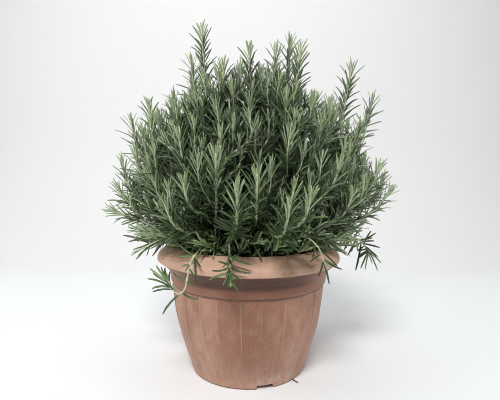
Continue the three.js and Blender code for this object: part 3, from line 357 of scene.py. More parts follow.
# angles round the pot, closer together where a flute's edge turns
ANG = []
for k in range(FLUTES):
    mid = FLUTE_AT + k * 360.0 / FLUTES
    for side in (-1, 1):
        ANG += [mid + side * (FLUTE_HALF + d) for d in (-1.6, -1.25, -0.95, -0.7, -0.45, -0.2, 0.05, 0.3, 0.6, 1.0, 1.5)]
    ANG += [mid + d for d in (-4.5, -3.0, -1.5, 0.0, 1.5, 3.0, 4.5)]
    ANG += [mid + 360.0 / FLUTES / 2 + d for d in (-5.4, -4.0, -2.7, -1.35, 0.0, 1.35, 2.7, 4.0, 5.4)]
ANG = sorted(math.radians(a % 360.0) for a in ANG)
SEG = len(ANG)
wall_out = rounded(OUTSIDE[3:12], 2)
outer = dense(OUTSIDE[:3], 1.5)[:-1] + dense([OUTSIDE[2]] + wall_out, 3.5)[:-1] + dense(rounded([wall_out[-1]] + OUTSIDE[12:], 1), 1.6)[:-1]
lip = dense([outer[-1]] + LIP[:3], 2.2)[:-1] + dense(rounded(LIP[2:], 2), 1.8)
inner = dense(rounded([lip[-1]] + INSIDE, 1), 7.0)
under = [(78.5, 6.0), (79.0, 3.0), (80.5, 0.0)]
profile = [(20.0, 6.0), (60.0, 6.0)] + under + outer + lip[1:] + inner[1:] + [(60.0, 9.5), (20.0, 9.5)]
n_out0 = 2 + len(under)
n_out1 = n_out0 + len(outer)
n_lip1 = n_out1 + len(lip) - 1


def pot_vertex(i, r, z, a):
    deg = math.degrees(a)
    if n_out0 <= i < n_out1 and 12.5 < z < 137.2:
        ph = (deg - FLUTE_AT) * FLUTES / 360.0
        off = (ph - round(ph)) * 360.0 / FLUTES            # degrees from the flute's middle
        # the flute's top is round: its half width closes towards the step
        top = max(0.0, min(1.0, (135.2 - z) / 7.0))
        half = FLUTE_HALF * math.sqrt(max(0.0, 1 - (1 - top) ** 2))
        fade = max(0.0, min(1.0, (z - 20.0) / 70.0)) ** 0.9
        if half > 0.05 and abs(off) < half:
            # nearly flat floor, steep sides
            u = (half - abs(off)) / 1.1
            r -= FLUTE_DEEP * fade * (1 - math.exp(-2.2 * u)) * (0.75 + 0.25 * math.cos(off / FLUTE_HALF * 1.5))
        # a fine raised line along both edges of the flute
        edge = math.exp(-(((abs(off) - FLUTE_HALF - 0.35) / 0.40) ** 2)) * fade * max(0, min(1, (134 - z) / 4))
        r += 0.40 * edge
    if z > 150:
        # the moulded lip is a little out of true
        w = max(0.0, min(1.0, (z - 150) / 30))
        r += w * (0.7 * math.sin(2 * a + 0.8) + 0.45 * math.sin(5 * a + 1.9) + 0.25 * math.sin(9 * a))
        z += w * (0.7 * math.sin(2 * a + 2.2) + 0.35 * math.sin(4 * a + 0.5))
    return r * math.sin(a), -r * math.cos(a), z


pv, pf = [], []
for i, (r, z) in enumerate(profile):
    for s in range(SEG):
        pv.append(tuple(c * MM for c in pot_vertex(i, r, z, ANG[s])))
for i in range(len(profile) - 1):
    for s in range(SEG):
        t = (s + 1) % SEG
        pf.append((i * SEG + s, i * SEG + t, (i + 1) * SEG + t, (i + 1) * SEG + s))
c0 = len(pv)
pv.append((0, 0, 6.0 * MM))
c1 = len(pv)
pv.append((0, 0, 9.5 * MM))
last = (len(profile) - 1) * SEG
for s in range(SEG):
    t = (s + 1) % SEG
    pf.append((c0, t, s))
    pf.append((c1, last + s, last + t))


def pot_material():
    m, nt, sh = material("terracotta_plastic")
    N = Nodes(nt)
    tc = N.coords()
    co = tc.outputs["Object"]
    sep = N.new("ShaderNodeSeparateXYZ")
    N.put(sep.inputs[0], co)
    x, y, z = sep.outputs
    az = N.math("ARCTAN2", x, N.math("MULTIPLY", y, -1.0))       # 0 at the front, + to the right
    # a cylinder-like space for marks that run up and down the wall
    cyl = N.new("ShaderNodeCombineXYZ")
    N.put(cyl.inputs[0], N.math("SINE", az))
    N.put(cyl.inputs[1], N.math("COSINE", az))
    N.put(cyl.inputs[2], z)
    streak = N.noise(N.scaled(cyl.outputs[0], 1, 1, 1.6), 9.0, 6.0, 0.6, 0.3)
    fine = N.noise(N.scaled(cyl.outputs[0], 1, 1, 2.0), 60.0, 4.0, 0.6)
    cloud = N.noise(co, 16.0, 5.0, 0.6, 0.4)
    speck = N.noise(co, 900.0, 2.0, 0.5)
    base = N.mix(N.ramp(cloud, [(0.3, 0.0), (0.7, 1.0)]), (0.375, 0.172, 0.106), (0.430, 0.216, 0.142))
    # the band under the lip stays clean, the rest carries dust that runs up and down
    neck = N.math("MULTIPLY", N.smooth(z, 0.137, 0.1405), N.smooth(z, 0.1725, 0.1700))
    # the middle of the front wall: spared some of the dust, and darkened below as painted shade that the flanks don't
    # get
    mid = N.math("MULTIPLY", N.smooth(N.math("ABSOLUTE", N.math("ADD", az, -0.03)), 0.62, 0.05), N.smooth(z, 0.0, 0.05))
    mid = N.math("MULTIPLY", mid, N.smooth(z, 0.170, 0.160))
    open_ = N.math("SUBTRACT", 1.0, N.math("MAXIMUM", N.math("MULTIPLY", neck, 0.85), N.math("MULTIPLY", mid, 0.45)))
    base = N.mix(N.math("MULTIPLY", N.math("MULTIPLY", N.ramp(streak, [(0.40, 0.0), (0.66, 1.0)]), 0.42), open_), base, (0.54, 0.350, 0.275))
    base = N.mix(N.math("MULTIPLY", N.math("MULTIPLY", N.ramp(fine, [(0.48, 0.0), (0.78, 1.0)]), 0.20), open_), base, (0.62, 0.45, 0.38))
    base = N.mix(N.math("MULTIPLY", N.ramp(streak, [(0.24, 1.0), (0.45, 0.0)]), 0.45), base, (0.31, 0.140, 0.080))
    # painted shade: the middle of the front wall darker than its flanks
    base = N.mix(N.math("MULTIPLY", mid, 0.80), base, (0.246, 0.100, 0.055))
    blotch = N.noise(N.scaled(cyl.outputs[0], 1, 1, 5.5), 8.5, 5.0, 0.62, 0.5)
    body = N.smooth(z, 0.137, 0.128)
    base = N.mix(N.math("MULTIPLY", N.math("MULTIPLY", N.ramp(blotch, [(0.30, 1.0), (0.50, 0.0)]), 0.46), body), base, (0.270, 0.108, 0.052))
    base = N.mix(N.math("MULTIPLY", N.math("MULTIPLY", N.ramp(blotch, [(0.50, 0.0), (0.72, 1.0)]), 0.28), body), base, (0.52, 0.355, 0.285))
    base = N.mix(N.math("MULTIPLY", N.smooth(z, 0.085, 0.015), 0.13), base, (0.55, 0.41, 0.34))
    # the neck band under the lip: a darker band colour with painted shade over it, strongest at the front and less
    # towards the sides; its upper part much darker still, the painted shadow of the lip
    side = N.smooth(N.math("ABSOLUTE", az), 1.15, 0.45)
    base = N.mix(N.math("MULTIPLY", neck, N.math("MULTIPLY_ADD", side, 0.35, 0.42)), base, (0.240, 0.094, 0.053))
    base = N.mix(N.math("MULTIPLY", N.math("MULTIPLY", neck, side), N.math("MULTIPLY", N.smooth(z, 0.1460, 0.1530), 0.86)), base, (0.050, 0.014, 0.007))
    # the flutes' edges: painted highlight and painted shade, a pale line outside each edge and a dark line inside it,
    # the pale line strongest on the right edge and the dark one on the left
    turn = N.math("DIVIDE", N.math("SUBTRACT", az, math.radians(FLUTE_AT)), math.radians(360.0 / FLUTES))
    off = N.math("MULTIPLY", N.math("SUBTRACT", turn, N.math("ROUND", turn)), 360.0 / FLUTES)
    on_wall = N.math("MULTIPLY", N.smooth(z, 0.030, 0.085), N.smooth(z, 0.1365, 0.1340))
    for at, wide, how, tint in ((-FLUTE_HALF + 0.2, 0.42, 0.30, (0.24, 0.110, 0.068)), (FLUTE_HALF - 0.5, 0.55, 0.22, (0.26, 0.120, 0.078)),
                                (FLUTE_HALF + 0.35, 0.36, 0.40, (0.66, 0.50, 0.43)), (-FLUTE_HALF - 0.5, 0.40, 0.12, (0.62, 0.46, 0.39))):
        d = N.math("DIVIDE", N.math("SUBTRACT", off, at), wide)
        line = N.math("MULTIPLY", N.math("MULTIPLY", N.smooth(N.math("ABSOLUTE", d), 1.3, 0.2), on_wall), how)
        base = N.mix(N.math("MULTIPLY", line, N.ramp(N.noise(cyl.outputs[0], 14.0, 3.0), [(0.3, 0.35), (0.6, 1.0)])), base, tint)
    # painted shadow: a dark line along the step where the neck band overhangs the wall
    corner = N.math("MULTIPLY", N.smooth(z, 0.1325, 0.1352), N.smooth(z, 0.1386, 0.1374))
    base = N.mix(N.math("MULTIPLY", corner, 0.74), base, (0.120, 0.050, 0.030))
    # lighter, dusty lip
    on_lip = N.smooth(z, 0.1700, 0.1722)
    base = N.mix(N.math("MULTIPLY", on_lip, 0.66), base, (0.690, 0.450, 0.335))
    # pale mineral marks low down, strongest by the drain notch
    near = N.math("SUBTRACT", 1.0, N.math("MULTIPLY", N.math("ABSOLUTE", N.math("SUBTRACT", az, 0.42)), 1.7), clamp=True)
    low = N.smooth(z, 0.030, 0.004)
    chalk = N.math("MULTIPLY", N.math("MULTIPLY", near, low), N.ramp(N.noise(co, 95.0, 6.0, 0.7, 0.6), [(0.40, 0.0), (0.62, 1.0)]))
    base = N.mix(N.math("MULTIPLY", chalk, 0.8), base, (0.80, 0.72, 0.67))
    ring = N.math("MULTIPLY", N.smooth(z, 0.020, 0.0), N.ramp(N.noise(co, 50.0, 5.0, 0.65), [(0.45, 0.0), (0.8, 1.0)]))
    base = N.mix(N.math("MULTIPLY", ring, 0.4), base, (0.62, 0.49, 0.43))
    foot = N.math("MULTIPLY", N.smooth(z, 0.0135, 0.0115), 0.34)
    base = N.mix(foot, base, (0.520, 0.270, 0.165))
    # painted contact shadow: a thin dark line along the foot's bottom edge
    base = N.mix(N.math("MULTIPLY", N.smooth(z, 0.0026, 0.0012), 0.75), base, (0.090, 0.050, 0.035))
    # brownish stain on the lip, right of the middle
    d1 = N.math("MULTIPLY", N.math("SUBTRACT", az, 0.38), 9.0)
    d2 = N.math("MULTIPLY", N.math("SUBTRACT", z, 0.1735), 170.0)
    spot = N.math("ADD", N.math("POWER", N.math("ABSOLUTE", d1), 2.0), N.math("POWER", N.math("ABSOLUTE", d2), 2.0))
    spot = N.math("MULTIPLY", N.math("MULTIPLY", N.smooth(spot, 1.3, 0.1), N.smooth(y, 0.0, -0.02)), N.ramp(N.noise(co, 120.0, 4.0), [(0.35, 0.2), (0.6, 1.0)]))
    base = N.mix(N.math("MULTIPLY", spot, 0.75), base, (0.30, 0.165, 0.065))
    # fine pale specks all over
    N.put(sh.inputs["Base Color"], N.mix(N.math("MULTIPLY", N.ramp(speck, [(0.45, 0.0), (0.75, 1.0)]), 0.12), base, (0.68, 0.54, 0.47)))
    rough = N.math("MULTIPLY_ADD", cloud, 0.22, 0.44)
    N.put(sh.inputs["Roughness"], N.math("ADD", rough, N.math("MULTIPLY", chalk, 0.25), clamp=True))
    sh.inputs["Specular IOR Level"].default_value = 0.42
    h = N.math("ADD", N.math("MULTIPLY", fine, 0.5), N.math("MULTIPLY", speck, 0.35))
    N.put(sh.inputs["Normal"], N.bump(N.math("ADD", h, N.math("MULTIPLY", chalk, 0.6)), 0.35, 0.0006))
    return m


m_pot = pot_material()
pot = mesh_object("pot_moulded", pv, pf, [m_pot])


def cutter(name, bm_fn):
    bm = bmesh.new()
    bm_fn(bm)
    me = bpy.data.meshes.new(name)
    bm.to_mesh(me)
    bm.free()
    ob = bpy.data.objects.new(name, me)
    bpy.context.scene.collection.objects.link(ob)
    return ob


from mathutils import Matrix, Vector


def cut_notches(bm):
    for k in range(4):
        a = math.radians(16.0 + 90 * k)
        T = Matrix.Translation((85 * MM * math.sin(a), -85 * MM * math.cos(a), 0)) @ Matrix.Rotation(a, 4, "Z")
        r = bmesh.ops.create_cube(bm, size=1.0, matrix=T @ Matrix.Diagonal((24 * MM, 30 * MM, 12.4 * MM, 1)))
    for k in range(4):
        a = math.radians(45 + 90 * k)
        T = Matrix.Translation((52 * MM * math.sin(a), -52 * MM * math.cos(a), 8 * MM))
        bmesh.ops.create_cone(bm, cap_ends=True, segments=40, radius1=5.5 * MM, radius2=5.5 * MM, depth=20 * MM, matrix=T)


cut = cutter("cut", cut_notches)
mod = pot.modifiers.new("notches", "BOOLEAN")
mod.operation = "DIFFERENCE"
mod.solver = "EXACT"
mod.object = cut
dg = bpy.context.evaluated_depsgraph_get()
me2 = bpy.data.meshes.new_from_object(pot.evaluated_get(dg))
pot.modifiers.clear()
pot.data = me2
me2.name = "pot_moulded"
bpy.data.objects.remove(cut)
me2.polygons.foreach_set("use_smooth", np.ones(len(me2.polygons), bool))
# crisp edges only where the moulding turns sharply
bm = bmesh.new()
bm.from_mesh(me2)
for e in bm.edges:
    if len(e.link_faces) == 2 and e.calc_face_angle(0) > math.radians(38):
        e.smooth = False
bm.to_mesh(me2)
bm.free()
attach(pot, "root")
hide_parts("pot")

# ---------------------------------------------------------------- soil
SOIL_Z, SOIL_RISE = 177.0, 4.0
rng = np.random.default_rng(20)


def hash_noise(p, seed=0, cells=1.0):
    """Smooth value noise in 2 or 3 dimensions, -1..1."""
    p = np.asarray(p, float) * cells
    i = np.floor(p).astype(np.int64)
    f = p - i
    f = f * f * (3 - 2 * f)
    dims = p.shape[-1]
    total = np.zeros(p.shape[:-1])
    primes = np.array([73856093, 19349663, 83492791])[:dims]
    for corner in range(2 ** dims):
        off = np.array([(corner >> d) & 1 for d in range(dims)])
        h = ((i + off) * primes).sum(-1) + seed * 2654435761
        h = (h ^ (h >> 13)) * 1274126177
        h = h & 0x7FFFFFFF
        val = (h % 65521) / 65521.0 * 2 - 1
        w = np.prod(np.where(off == 1, f, 1 - f), axis=-1)
        total += val * w
    return total


def soil_height(x, y):
    r = np.hypot(x, y)
    a = np.arctan2(x, -y)
    lump = 1.1 * np.sin(3 * a + 0.6) * np.sin(r / 17) + 0.9 * np.sin(7 * a + 2) * np.cos(r / 11)
    return SOIL_Z + SOIL_RISE * np.exp(-((r / 60) ** 2)) + lump


RR = np.concatenate([[0.0], np.linspace(3, 110.7, 64)])
SA = 220
sv = [(0.0, 0.0, float(soil_height(0.0, 0.0)) * MM)]
for r in RR[1:]:
    a = 2 * np.pi * np.arange(SA) / SA
    x, y = r * np.sin(a), -r * np.cos(a)
    P = np.stack([x, y], -1)
    z = soil_height(x, y) + 1.3 * hash_noise(P, 3, 0.16) + 0.9 * hash_noise(P, 5, 0.4) + 0.6 * hash_noise(P, 7, 1.0)
    z = z - 1.2 * np.clip((r - 104) / 8, 0, 1)
    sv += [(xx * MM, yy * MM, zz * MM) for xx, yy, zz in zip(x, y, z)]
sf = []
for s in range(SA):
    sf.append((0, 1 + s, 1 + (s + 1) % SA))
for i in range(len(RR) - 2):
    for s in range(SA):
        t = (s + 1) % SA
        sf.append((1 + i * SA + s, 1 + (i + 1) * SA + s, 1 + (i + 1) * SA + t, 1 + i * SA + t))
# sides and bottom, inside the pot
rows = [(110.8, 168.0), (112.6, 151), (111.4, 124), (106.8, 85), (102.4, 65), (94.0, 35), (85.2, 13), (84.0, 9.9)]
base0 = 1 + (len(RR) - 2) * SA
for r, z in rows:
    for s in range(SA):
        a = 2 * math.pi * s / SA
        sv.append((r * math.sin(a) * MM, -r * math.cos(a) * MM, z * MM))
for i in range(len(rows)):
    lo_row = base0 if i == 0 else base0 + i * SA
    hi_row = base0 + (i + 1) * SA
    for s in range(SA):
        t = (s + 1) % SA
        sf.append((lo_row + s, hi_row + s, hi_row + t, lo_row + t))
cb = len(sv)
sv.append((0, 0, 9.9 * MM))
lastrow = base0 + len(rows) * SA
for s in range(SA):
    sf.append((cb, lastrow + (s + 1) % SA, lastrow + s))


def soil_material():
    m, nt, sh = material("potting_soil")
    N = Nodes(nt)
    co = N.coords().outputs["Object"]
    a = N.noise(co, 260.0, 6.0, 0.65)
    b = N.noise(co, 900.0, 3.0, 0.6)
    v = N.voronoi(co, 420.0)
    c = N.mix(N.ramp(a, [(0.35, 0.0), (0.7, 1.0)]), (0.008, 0.006, 0.005), (0.035, 0.025, 0.017))
    c = N.mix(N.math("MULTIPLY", N.ramp(b, [(0.62, 0.0), (0.72, 1.0)]), 0.5), c, (0.09, 0.065, 0.045))
    N.put(sh.inputs["Base Color"], c)
    sh.inputs["Roughness"].default_value = 0.93
    sh.inputs["Specular IOR Level"].default_value = 0.25
    N.put(sh.inputs["Normal"], N.bump(N.math("ADD", v, a), 0.9, 0.0014))
    return m


m_soil = soil_material()


def add_crumbs(verts, faces, n, seed):
    """Irregular crumbs of soil and bark, pressed into the surface."""
    g = np.random.default_rng(seed)
    t = (1 + 5 ** 0.5) / 2
    ico = np.array([(-1, t, 0), (1, t, 0), (-1, -t, 0), (1, -t, 0), (0, -1, t), (0, 1, t), (0, -1, -t), (0, 1, -t), (t, 0, -1), (t, 0, 1), (-t, 0, -1), (-t, 0, 1)]) / 1.9
    tri = [(0, 11, 5), (0, 5, 1), (0, 1, 7), (0, 7, 10), (0, 10, 11), (1, 5, 9), (5, 11, 4), (11, 10, 2), (10, 7, 6), (7, 1, 8), (3, 9, 4), (3, 4, 2), (3, 2, 6), (3, 6, 8), (3, 8, 9), (4, 9, 5), (2, 4, 11), (6, 2, 10), (8, 6, 7), (9, 8, 1)]
    for _ in range(n):
        r = 106 * math.sqrt(g.random())
        a = g.random() * 2 * math.pi
        x, y = r * math.cos(a), r * math.sin(a)
        s = g.uniform(0.8, 2.6) * np.array([g.uniform(0.7, 1.6), g.uniform(0.6, 1.0), g.uniform(0.4, 0.8)])
        th = g.random() * 2 * math.pi
        q = ico * (1 + g.uniform(-0.25, 0.25, (12, 1))) * s
        q = np.stack([q[:, 0] * math.cos(th) - q[:, 1] * math.sin(th), q[:, 0] * math.sin(th) + q[:, 1] * math.cos(th), q[:, 2]], -1)
        q += [x, y, float(soil_height(x, y)) + 0.6]
        b = len(verts)
        verts += [tuple(v * MM) for v in q]
        faces += [tuple(b + k for k in f) for f in tri]


add_crumbs(sv, sf, 900, 8)
soil = mesh_object("potting_soil_surface", sv, sf, [m_soil])
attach(soil, "root")
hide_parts("potting_soil")

# ---------------------------------------------------------------- bark and leaf materials
K = 16                  # leaf columns on the map: 4 ages by 4 tints; the oldest age also stands for painted shade deep in the crown
LEAF_U = 0.80           # the map's share that leaves use


def leaf_material():
    m, nt, sh = material("rosemary_leaf")
    N = Nodes(nt)
    uvn = N.new("ShaderNodeUVMap", uv_map="OFBake")
    sep = N.new("ShaderNodeSeparateXYZ")
    N.put(sep.inputs[0], uvn.outputs[0])
    u, v = sep.outputs[0], sep.outputs[1]
    cu = N.math("MULTIPLY", u, K / LEAF_U)
    col = N.math("FLOOR", cu)
    f = N.math("FRACT", cu)
    age_and_shade = N.math("DIVIDE", N.math("FLOOR", N.math("DIVIDE", N.math("ADD", col, 0.01), 4.0)), 3.0)   # 0 old, also painted shade deep in the crown .. 1 young
    tint = N.math("FRACT", N.math("MULTIPLY", N.math("ADD", col, 1.37), 0.618))
    top = N.math("SUBTRACT", 1.0, N.smooth(N.math("ABSOLUTE", N.math("SUBTRACT", f, 0.75)), 0.150, 0.115))      # 0 on the pale strip underneath
    # painted highlight: a pale stripe down the middle of the upper side
    painted_rib_highlight = N.smooth(N.math("ABSOLUTE", N.math("SUBTRACT", f, 0.25)), 0.045, 0.0)
    ribund = N.smooth(N.math("ABSOLUTE", N.math("SUBTRACT", f, 0.75)), 0.085, 0.03)
    along = N.new("ShaderNodeCombineXYZ")
    N.put(along.inputs[0], N.math("MULTIPLY", f, 3.0))
    N.put(along.inputs[1], N.math("MULTIPLY", v, 9.0))
    N.put(along.inputs[2], N.math("MULTIPLY", col, 3.1))
    spotty = N.noise(along.outputs[0], 1.6, 4.0, 0.6)
    # upper side by age; the darkest step is also painted shade deep in the crown
    up = N.ramp(age_and_shade, [(0.0, (0.028, 0.047, 0.0185)), (0.333, (0.042, 0.082, 0.025)), (0.667, (0.082, 0.150, 0.045)), (1.0, (0.355, 0.470, 0.232))])
    up = N.mix(1.0, up, N.ramp(tint, [(0.0, (0.62, 0.62, 0.66)), (1.0, (1.34, 1.30, 1.26))]), "MULTIPLY")
    up = N.mix(N.math("MULTIPLY", N.math("MULTIPLY", spotty, N.math("MULTIPLY_ADD", age_and_shade, 0.5, 0.3)), 0.28), up, (0.170, 0.240, 0.125))
    # the painted highlight stripe, stronger on young leaves
    up = N.mix(N.math("MULTIPLY", painted_rib_highlight, N.math("MULTIPLY_ADD", age_and_shade, 0.34, 0.12)), up, (0.24, 0.32, 0.17))
    dn = N.mix(tint, (0.34, 0.43, 0.26), (0.54, 0.62, 0.42))
    dn = N.mix(N.math("MULTIPLY", age_and_shade, 0.6), dn, (0.72, 0.85, 0.60))
    # undersides of the oldest step darker too: partly old leaves, partly painted shade deep in the crown
    dn = N.mix(N.ramp(age_and_shade, [(0.0, 0.48), (0.333, 0.12), (0.5, 0.0)]), dn, (0.105, 0.140, 0.085))
    dn = N.mix(N.math("MULTIPLY", ribund, 0.6), dn, (0.34, 0.44, 0.26))
    c = N.mix(top, dn, up)
    # leaf foot is paler, tip sometimes a little brown
    c = N.mix(N.math("MULTIPLY", N.smooth(v, 0.16, 0.0), N.math("MULTIPLY_ADD", age_and_shade, 0.50, 0.15)), c, (0.50, 0.58, 0.36))
    c = N.mix(N.math("MULTIPLY", N.math("MULTIPLY", N.smooth(v, 0.93, 1.0), N.math("SUBTRACT", 1.0, age_and_shade)), 0.35), c, (0.12, 0.085, 0.03))
    N.put(sh.inputs["Base Color"], c)
    N.put(sh.inputs["Roughness"], N.math("MULTIPLY_ADD", top, -0.44, 0.76))
    sh.inputs["Specular IOR Level"].default_value = 0.5
    fine = N.new("ShaderNodeCombineXYZ")
    N.put(fine.inputs[0], N.math("MULTIPLY", f, 14.0))
    N.put(fine.inputs[1], N.math("MULTIPLY", v, 60.0))
    N.put(fine.inputs[2], col)
    pebble = N.voronoi(fine.outputs[0], 1.0)
    N.put(sh.inputs["Normal"], N.bump(pebble, 0.30, 0.0003))
    sh.inputs["Subsurface Weight"].default_value = 0.0
    return m


def stem_material():
    m, nt, sh = material("rosemary_stem")
    N = Nodes(nt)
    uvn = N.new("ShaderNodeUVMap", uv_map="OFBake")
    sep = N.new("ShaderNodeSeparateXYZ")
    N.put(sep.inputs[0], uvn.outputs[0])
    u, v = sep.outputs[0], sep.outputs[1]
    vec = N.new("ShaderNodeCombineXYZ")
    N.put(vec.inputs[0], N.math("MULTIPLY", u, 90.0))
    N.put(vec.inputs[1], N.math("MULTIPLY", v, 26.0))
    streaks = N.noise(vec.outputs[0], 1.2, 5.0, 0.65)
    # v runs from old wood (0) to the green tip (1)
    wood = N.mix(streaks, (0.20, 0.145, 0.095), (0.50, 0.40, 0.29))
    green = N.mix(streaks, (0.50, 0.54, 0.32), (0.72, 0.75, 0.53))
    t = N.smooth(N.math("ADD", v, N.math("MULTIPLY", N.math("SUBTRACT", streaks, 0.5), 0.25)), 0.14, 0.44)
    N.put(sh.inputs["Base Color"], N.mix(t, wood, green))
    sh.inputs["Roughness"].default_value = 0.74
    sh.inputs["Specular IOR Level"].default_value = 0.35
    N.put(sh.inputs["Normal"], N.bump(streaks, 0.5, 0.0005))
    return m


def bark_material():
    m, nt, sh = material("old_bark")
    N = Nodes(nt)
    co = N.coords().outputs["Object"]
    s = N.noise(N.scaled(co, 1, 1, 0.25), 420.0, 6.0, 0.65, 0.4)
    p = N.noise(co, 70.0, 4.0, 0.6)
    c = N.mix(s, (0.085, 0.058, 0.038), (0.27, 0.205, 0.145))
    c = N.mix(N.math("MULTIPLY", p, 0.4), c, (0.20, 0.175, 0.14))
    N.put(sh.inputs["Base Color"], c)
    sh.inputs["Roughness"].default_value = 0.86
    N.put(sh.inputs["Normal"], N.bump(s, 0.9, 0.0012))
    return m


def root_material():
    m, nt, sh = material("dry_rootlet")
    N = Nodes(nt)
    co = N.coords().outputs["Object"]
    s = N.noise(co, 1500.0, 4.0, 0.6)
    N.put(sh.inputs["Base Color"], N.mix(s, (0.012, 0.009, 0.007), (0.060, 0.046, 0.036)))
    sh.inputs["Roughness"].default_value = 0.85
    N.put(sh.inputs["Normal"], N.bump(s, 0.6, 0.0004))
    return m


m_leaf, m_stem, m_bark = leaf_material(), stem_material(), bark_material()
MATS = [m_stem, m_leaf]

# ---------------------------------------------------------------- curves
def through(P, n):
    P = np.asarray(P, float)
    k = len(P) - 1
    Q = np.vstack([2 * P[0] - P[1], P, 2 * P[-1] - P[-2]])
    x = np.linspace(0, k, n)
    i = np.minimum(x.astype(int), k - 1)
    t = (x - i)[:, None]
    a, b, c, d = Q[i], Q[i + 1], Q[i + 2], Q[i + 3]
    return 0.5 * (2 * b + (c - a) * t + (2 * a - 5 * b + 4 * c - d) * t * t + (3 * b - a - 3 * c + d) * t ** 3)


def unit(v):
    v = np.asarray(v, float)
    return v / np.maximum(np.linalg.norm(v, axis=-1, keepdims=True), 1e-9)


def carried(line):
    """Tangents and frames carried along a line without twist."""
    T = unit(np.gradient(line, axis=0))
    U = np.zeros_like(T)
    u = np.array([1.0, 0, 0]) if abs(T[0, 0]) < 0.8 else np.array([0, 1.0, 0])
    for k in range(len(T)):
        u = unit(u - T[k] * (u @ T[k]))
        U[k] = u
    return T, U, np.cross(T, U)


class Pieces:
    """Gathers stems and leaves of one node into arrays."""

    def __init__(self):
        self.V, self.Q, self.T = [], [], []
        self.qm, self.tm, self.quv, self.tuv = [], [], [], []
        self.n = 0

    def add(self, V, Q, T, mat, quv, tuv):
        self.V.append(V)
        if len(Q):
            self.Q.append(Q + self.n)
            self.qm.append(np.full(len(Q), mat))
            self.quv.append(quv)
        if len(T):
            self.T.append(T + self.n)
            self.tm.append(np.full(len(T), mat))
            self.tuv.append(tuv)
        self.n += len(V)

    def build(self, name):
        V = np.concatenate(self.V) * MM
        Q = np.concatenate(self.Q) if self.Q else np.zeros((0, 4), int)
        T = np.concatenate(self.T) if self.T else np.zeros((0, 3), int)
        z4, z3 = np.zeros((0, 4, 2)), np.zeros((0, 3, 2))
        return big_mesh(name, V, Q, T, MATS,
                        np.concatenate(self.qm) if self.qm else np.zeros(0), np.concatenate(self.tm) if self.tm else np.zeros(0),
                        np.concatenate(self.quv) if self.quv else z4, np.concatenate(self.tuv) if self.tuv else z3)


def add_stem(pc, line, rad, v0, v1, strip, sides=8, knots=None):
    """Closed tapering stem with slight swellings where leaves grow."""
    T, U, W = carried(line)
    n = len(line)
    seg = np.linalg.norm(np.diff(line, axis=0), axis=1)
    s = np.concatenate([[0], np.cumsum(seg)])
    r = np.array(rad, float).copy()
    if knots is not None:
        for k in knots:
            r *= 1 + 0.22 * np.exp(-(((s - k) / 0.9) ** 2))
    a = 2 * np.pi * np.arange(sides) / sides
    # young stems are square with rounded corners
    sq = 1 + 0.07 * np.cos(4 * a)
    ring = line[:, None, :] + r[:, None, None] * sq[None, :, None] * (np.cos(a)[None, :, None] * U[:, None, :] + np.sin(a)[None, :, None] * W[:, None, :])
    V = ring.reshape(-1, 3)
    tip = line[-1] + T[-1] * r[-1] * 0.9
    foot = line[0] - T[0] * r[0] * 0.3
    V = np.vstack([V, tip, foot])
    i, j = np.meshgrid(np.arange(n - 1), np.arange(sides), indexing="ij")
    j2 = (j + 1) % sides
    Q = np.stack([i * sides + j, i * sides + j2, (i + 1) * sides + j2, (i + 1) * sides + j], -1).reshape(-1, 4)
    vv = v0 + (v1 - v0) * s / s[-1]
    u0, u1 = (LEAF_U + 0.01, 0.895) if strip == 0 else (0.905, 0.99)
    ua = u0 + (u1 - u0) * j / sides
    ub = u0 + (u1 - u0) * (j + 1) / sides
    va, vb = vv[i], vv[i + 1]
    quv = np.stack([np.stack([ua, va], -1), np.stack([ub, va], -1), np.stack([ub, vb], -1), np.stack([ua, vb], -1)], -2).reshape(-1, 4, 2)
    k = np.arange(sides)
    k2 = (k + 1) % sides
    e = (n - 1) * sides
    T1 = np.stack([e + k, e + k2, np.full(sides, n * sides)], -1)
    T2 = np.stack([k2, k, np.full(sides, n * sides + 1)], -1)
    d = 0.004
    ka, kb = u0 + (u1 - u0) * k / sides, u0 + (u1 - u0) * (k + 1) / sides
    t1 = np.stack([np.stack([ka, np.full(sides, vv[-1] - d)], -1), np.stack([kb, np.full(sides, vv[-1] - d)], -1), np.stack([(ka + kb) / 2, np.full(sides, vv[-1])], -1)], -2)
    t2 = np.stack([np.stack([kb, np.full(sides, vv[0] + d)], -1), np.stack([ka, np.full(sides, vv[0] + d)], -1), np.stack([(ka + kb) / 2, np.full(sides, vv[0])], -1)], -2)
    pc.add(V, Q, np.vstack([T1, T2]), 0, quv, np.concatenate([t1, t2]))


# leaf section, seen from its tip: x across, y towards the upper side, from the left
# margin over the top and back underneath. The margins roll under, so the pale
# underside shows as a strip between them with the midrib standing out of it.
FINE = dict(
    section=np.array([(-1.0, -0.20), (-0.70, 0.24), (0.0, 0.10), (0.70, 0.24), (1.0, -0.20), (0.60, -0.50), (0.0, -0.36), (-0.60, -0.50)]),
    u=np.array([0.0, 0.12, 0.25, 0.38, 0.5, 0.62, 0.75, 0.88, 1.0]),
    rows=np.array([0.0, 0.14, 0.40, 0.70, 0.93]),
    wide=np.array([0.42, 0.86, 1.0, 0.98, 0.66]))
PLAIN = dict(
    section=np.array([(-1.0, -0.20), (0.0, 0.22), (1.0, -0.20), (0.60, -0.46), (0.0, -0.34), (-0.60, -0.46)]),
    u=np.array([0.0, 0.25, 0.5, 0.62, 0.75, 0.88, 1.0]),
    rows=np.array([0.0, 0.18, 0.60, 0.92]),
    wide=np.array([0.45, 0.92, 1.0, 0.66]))


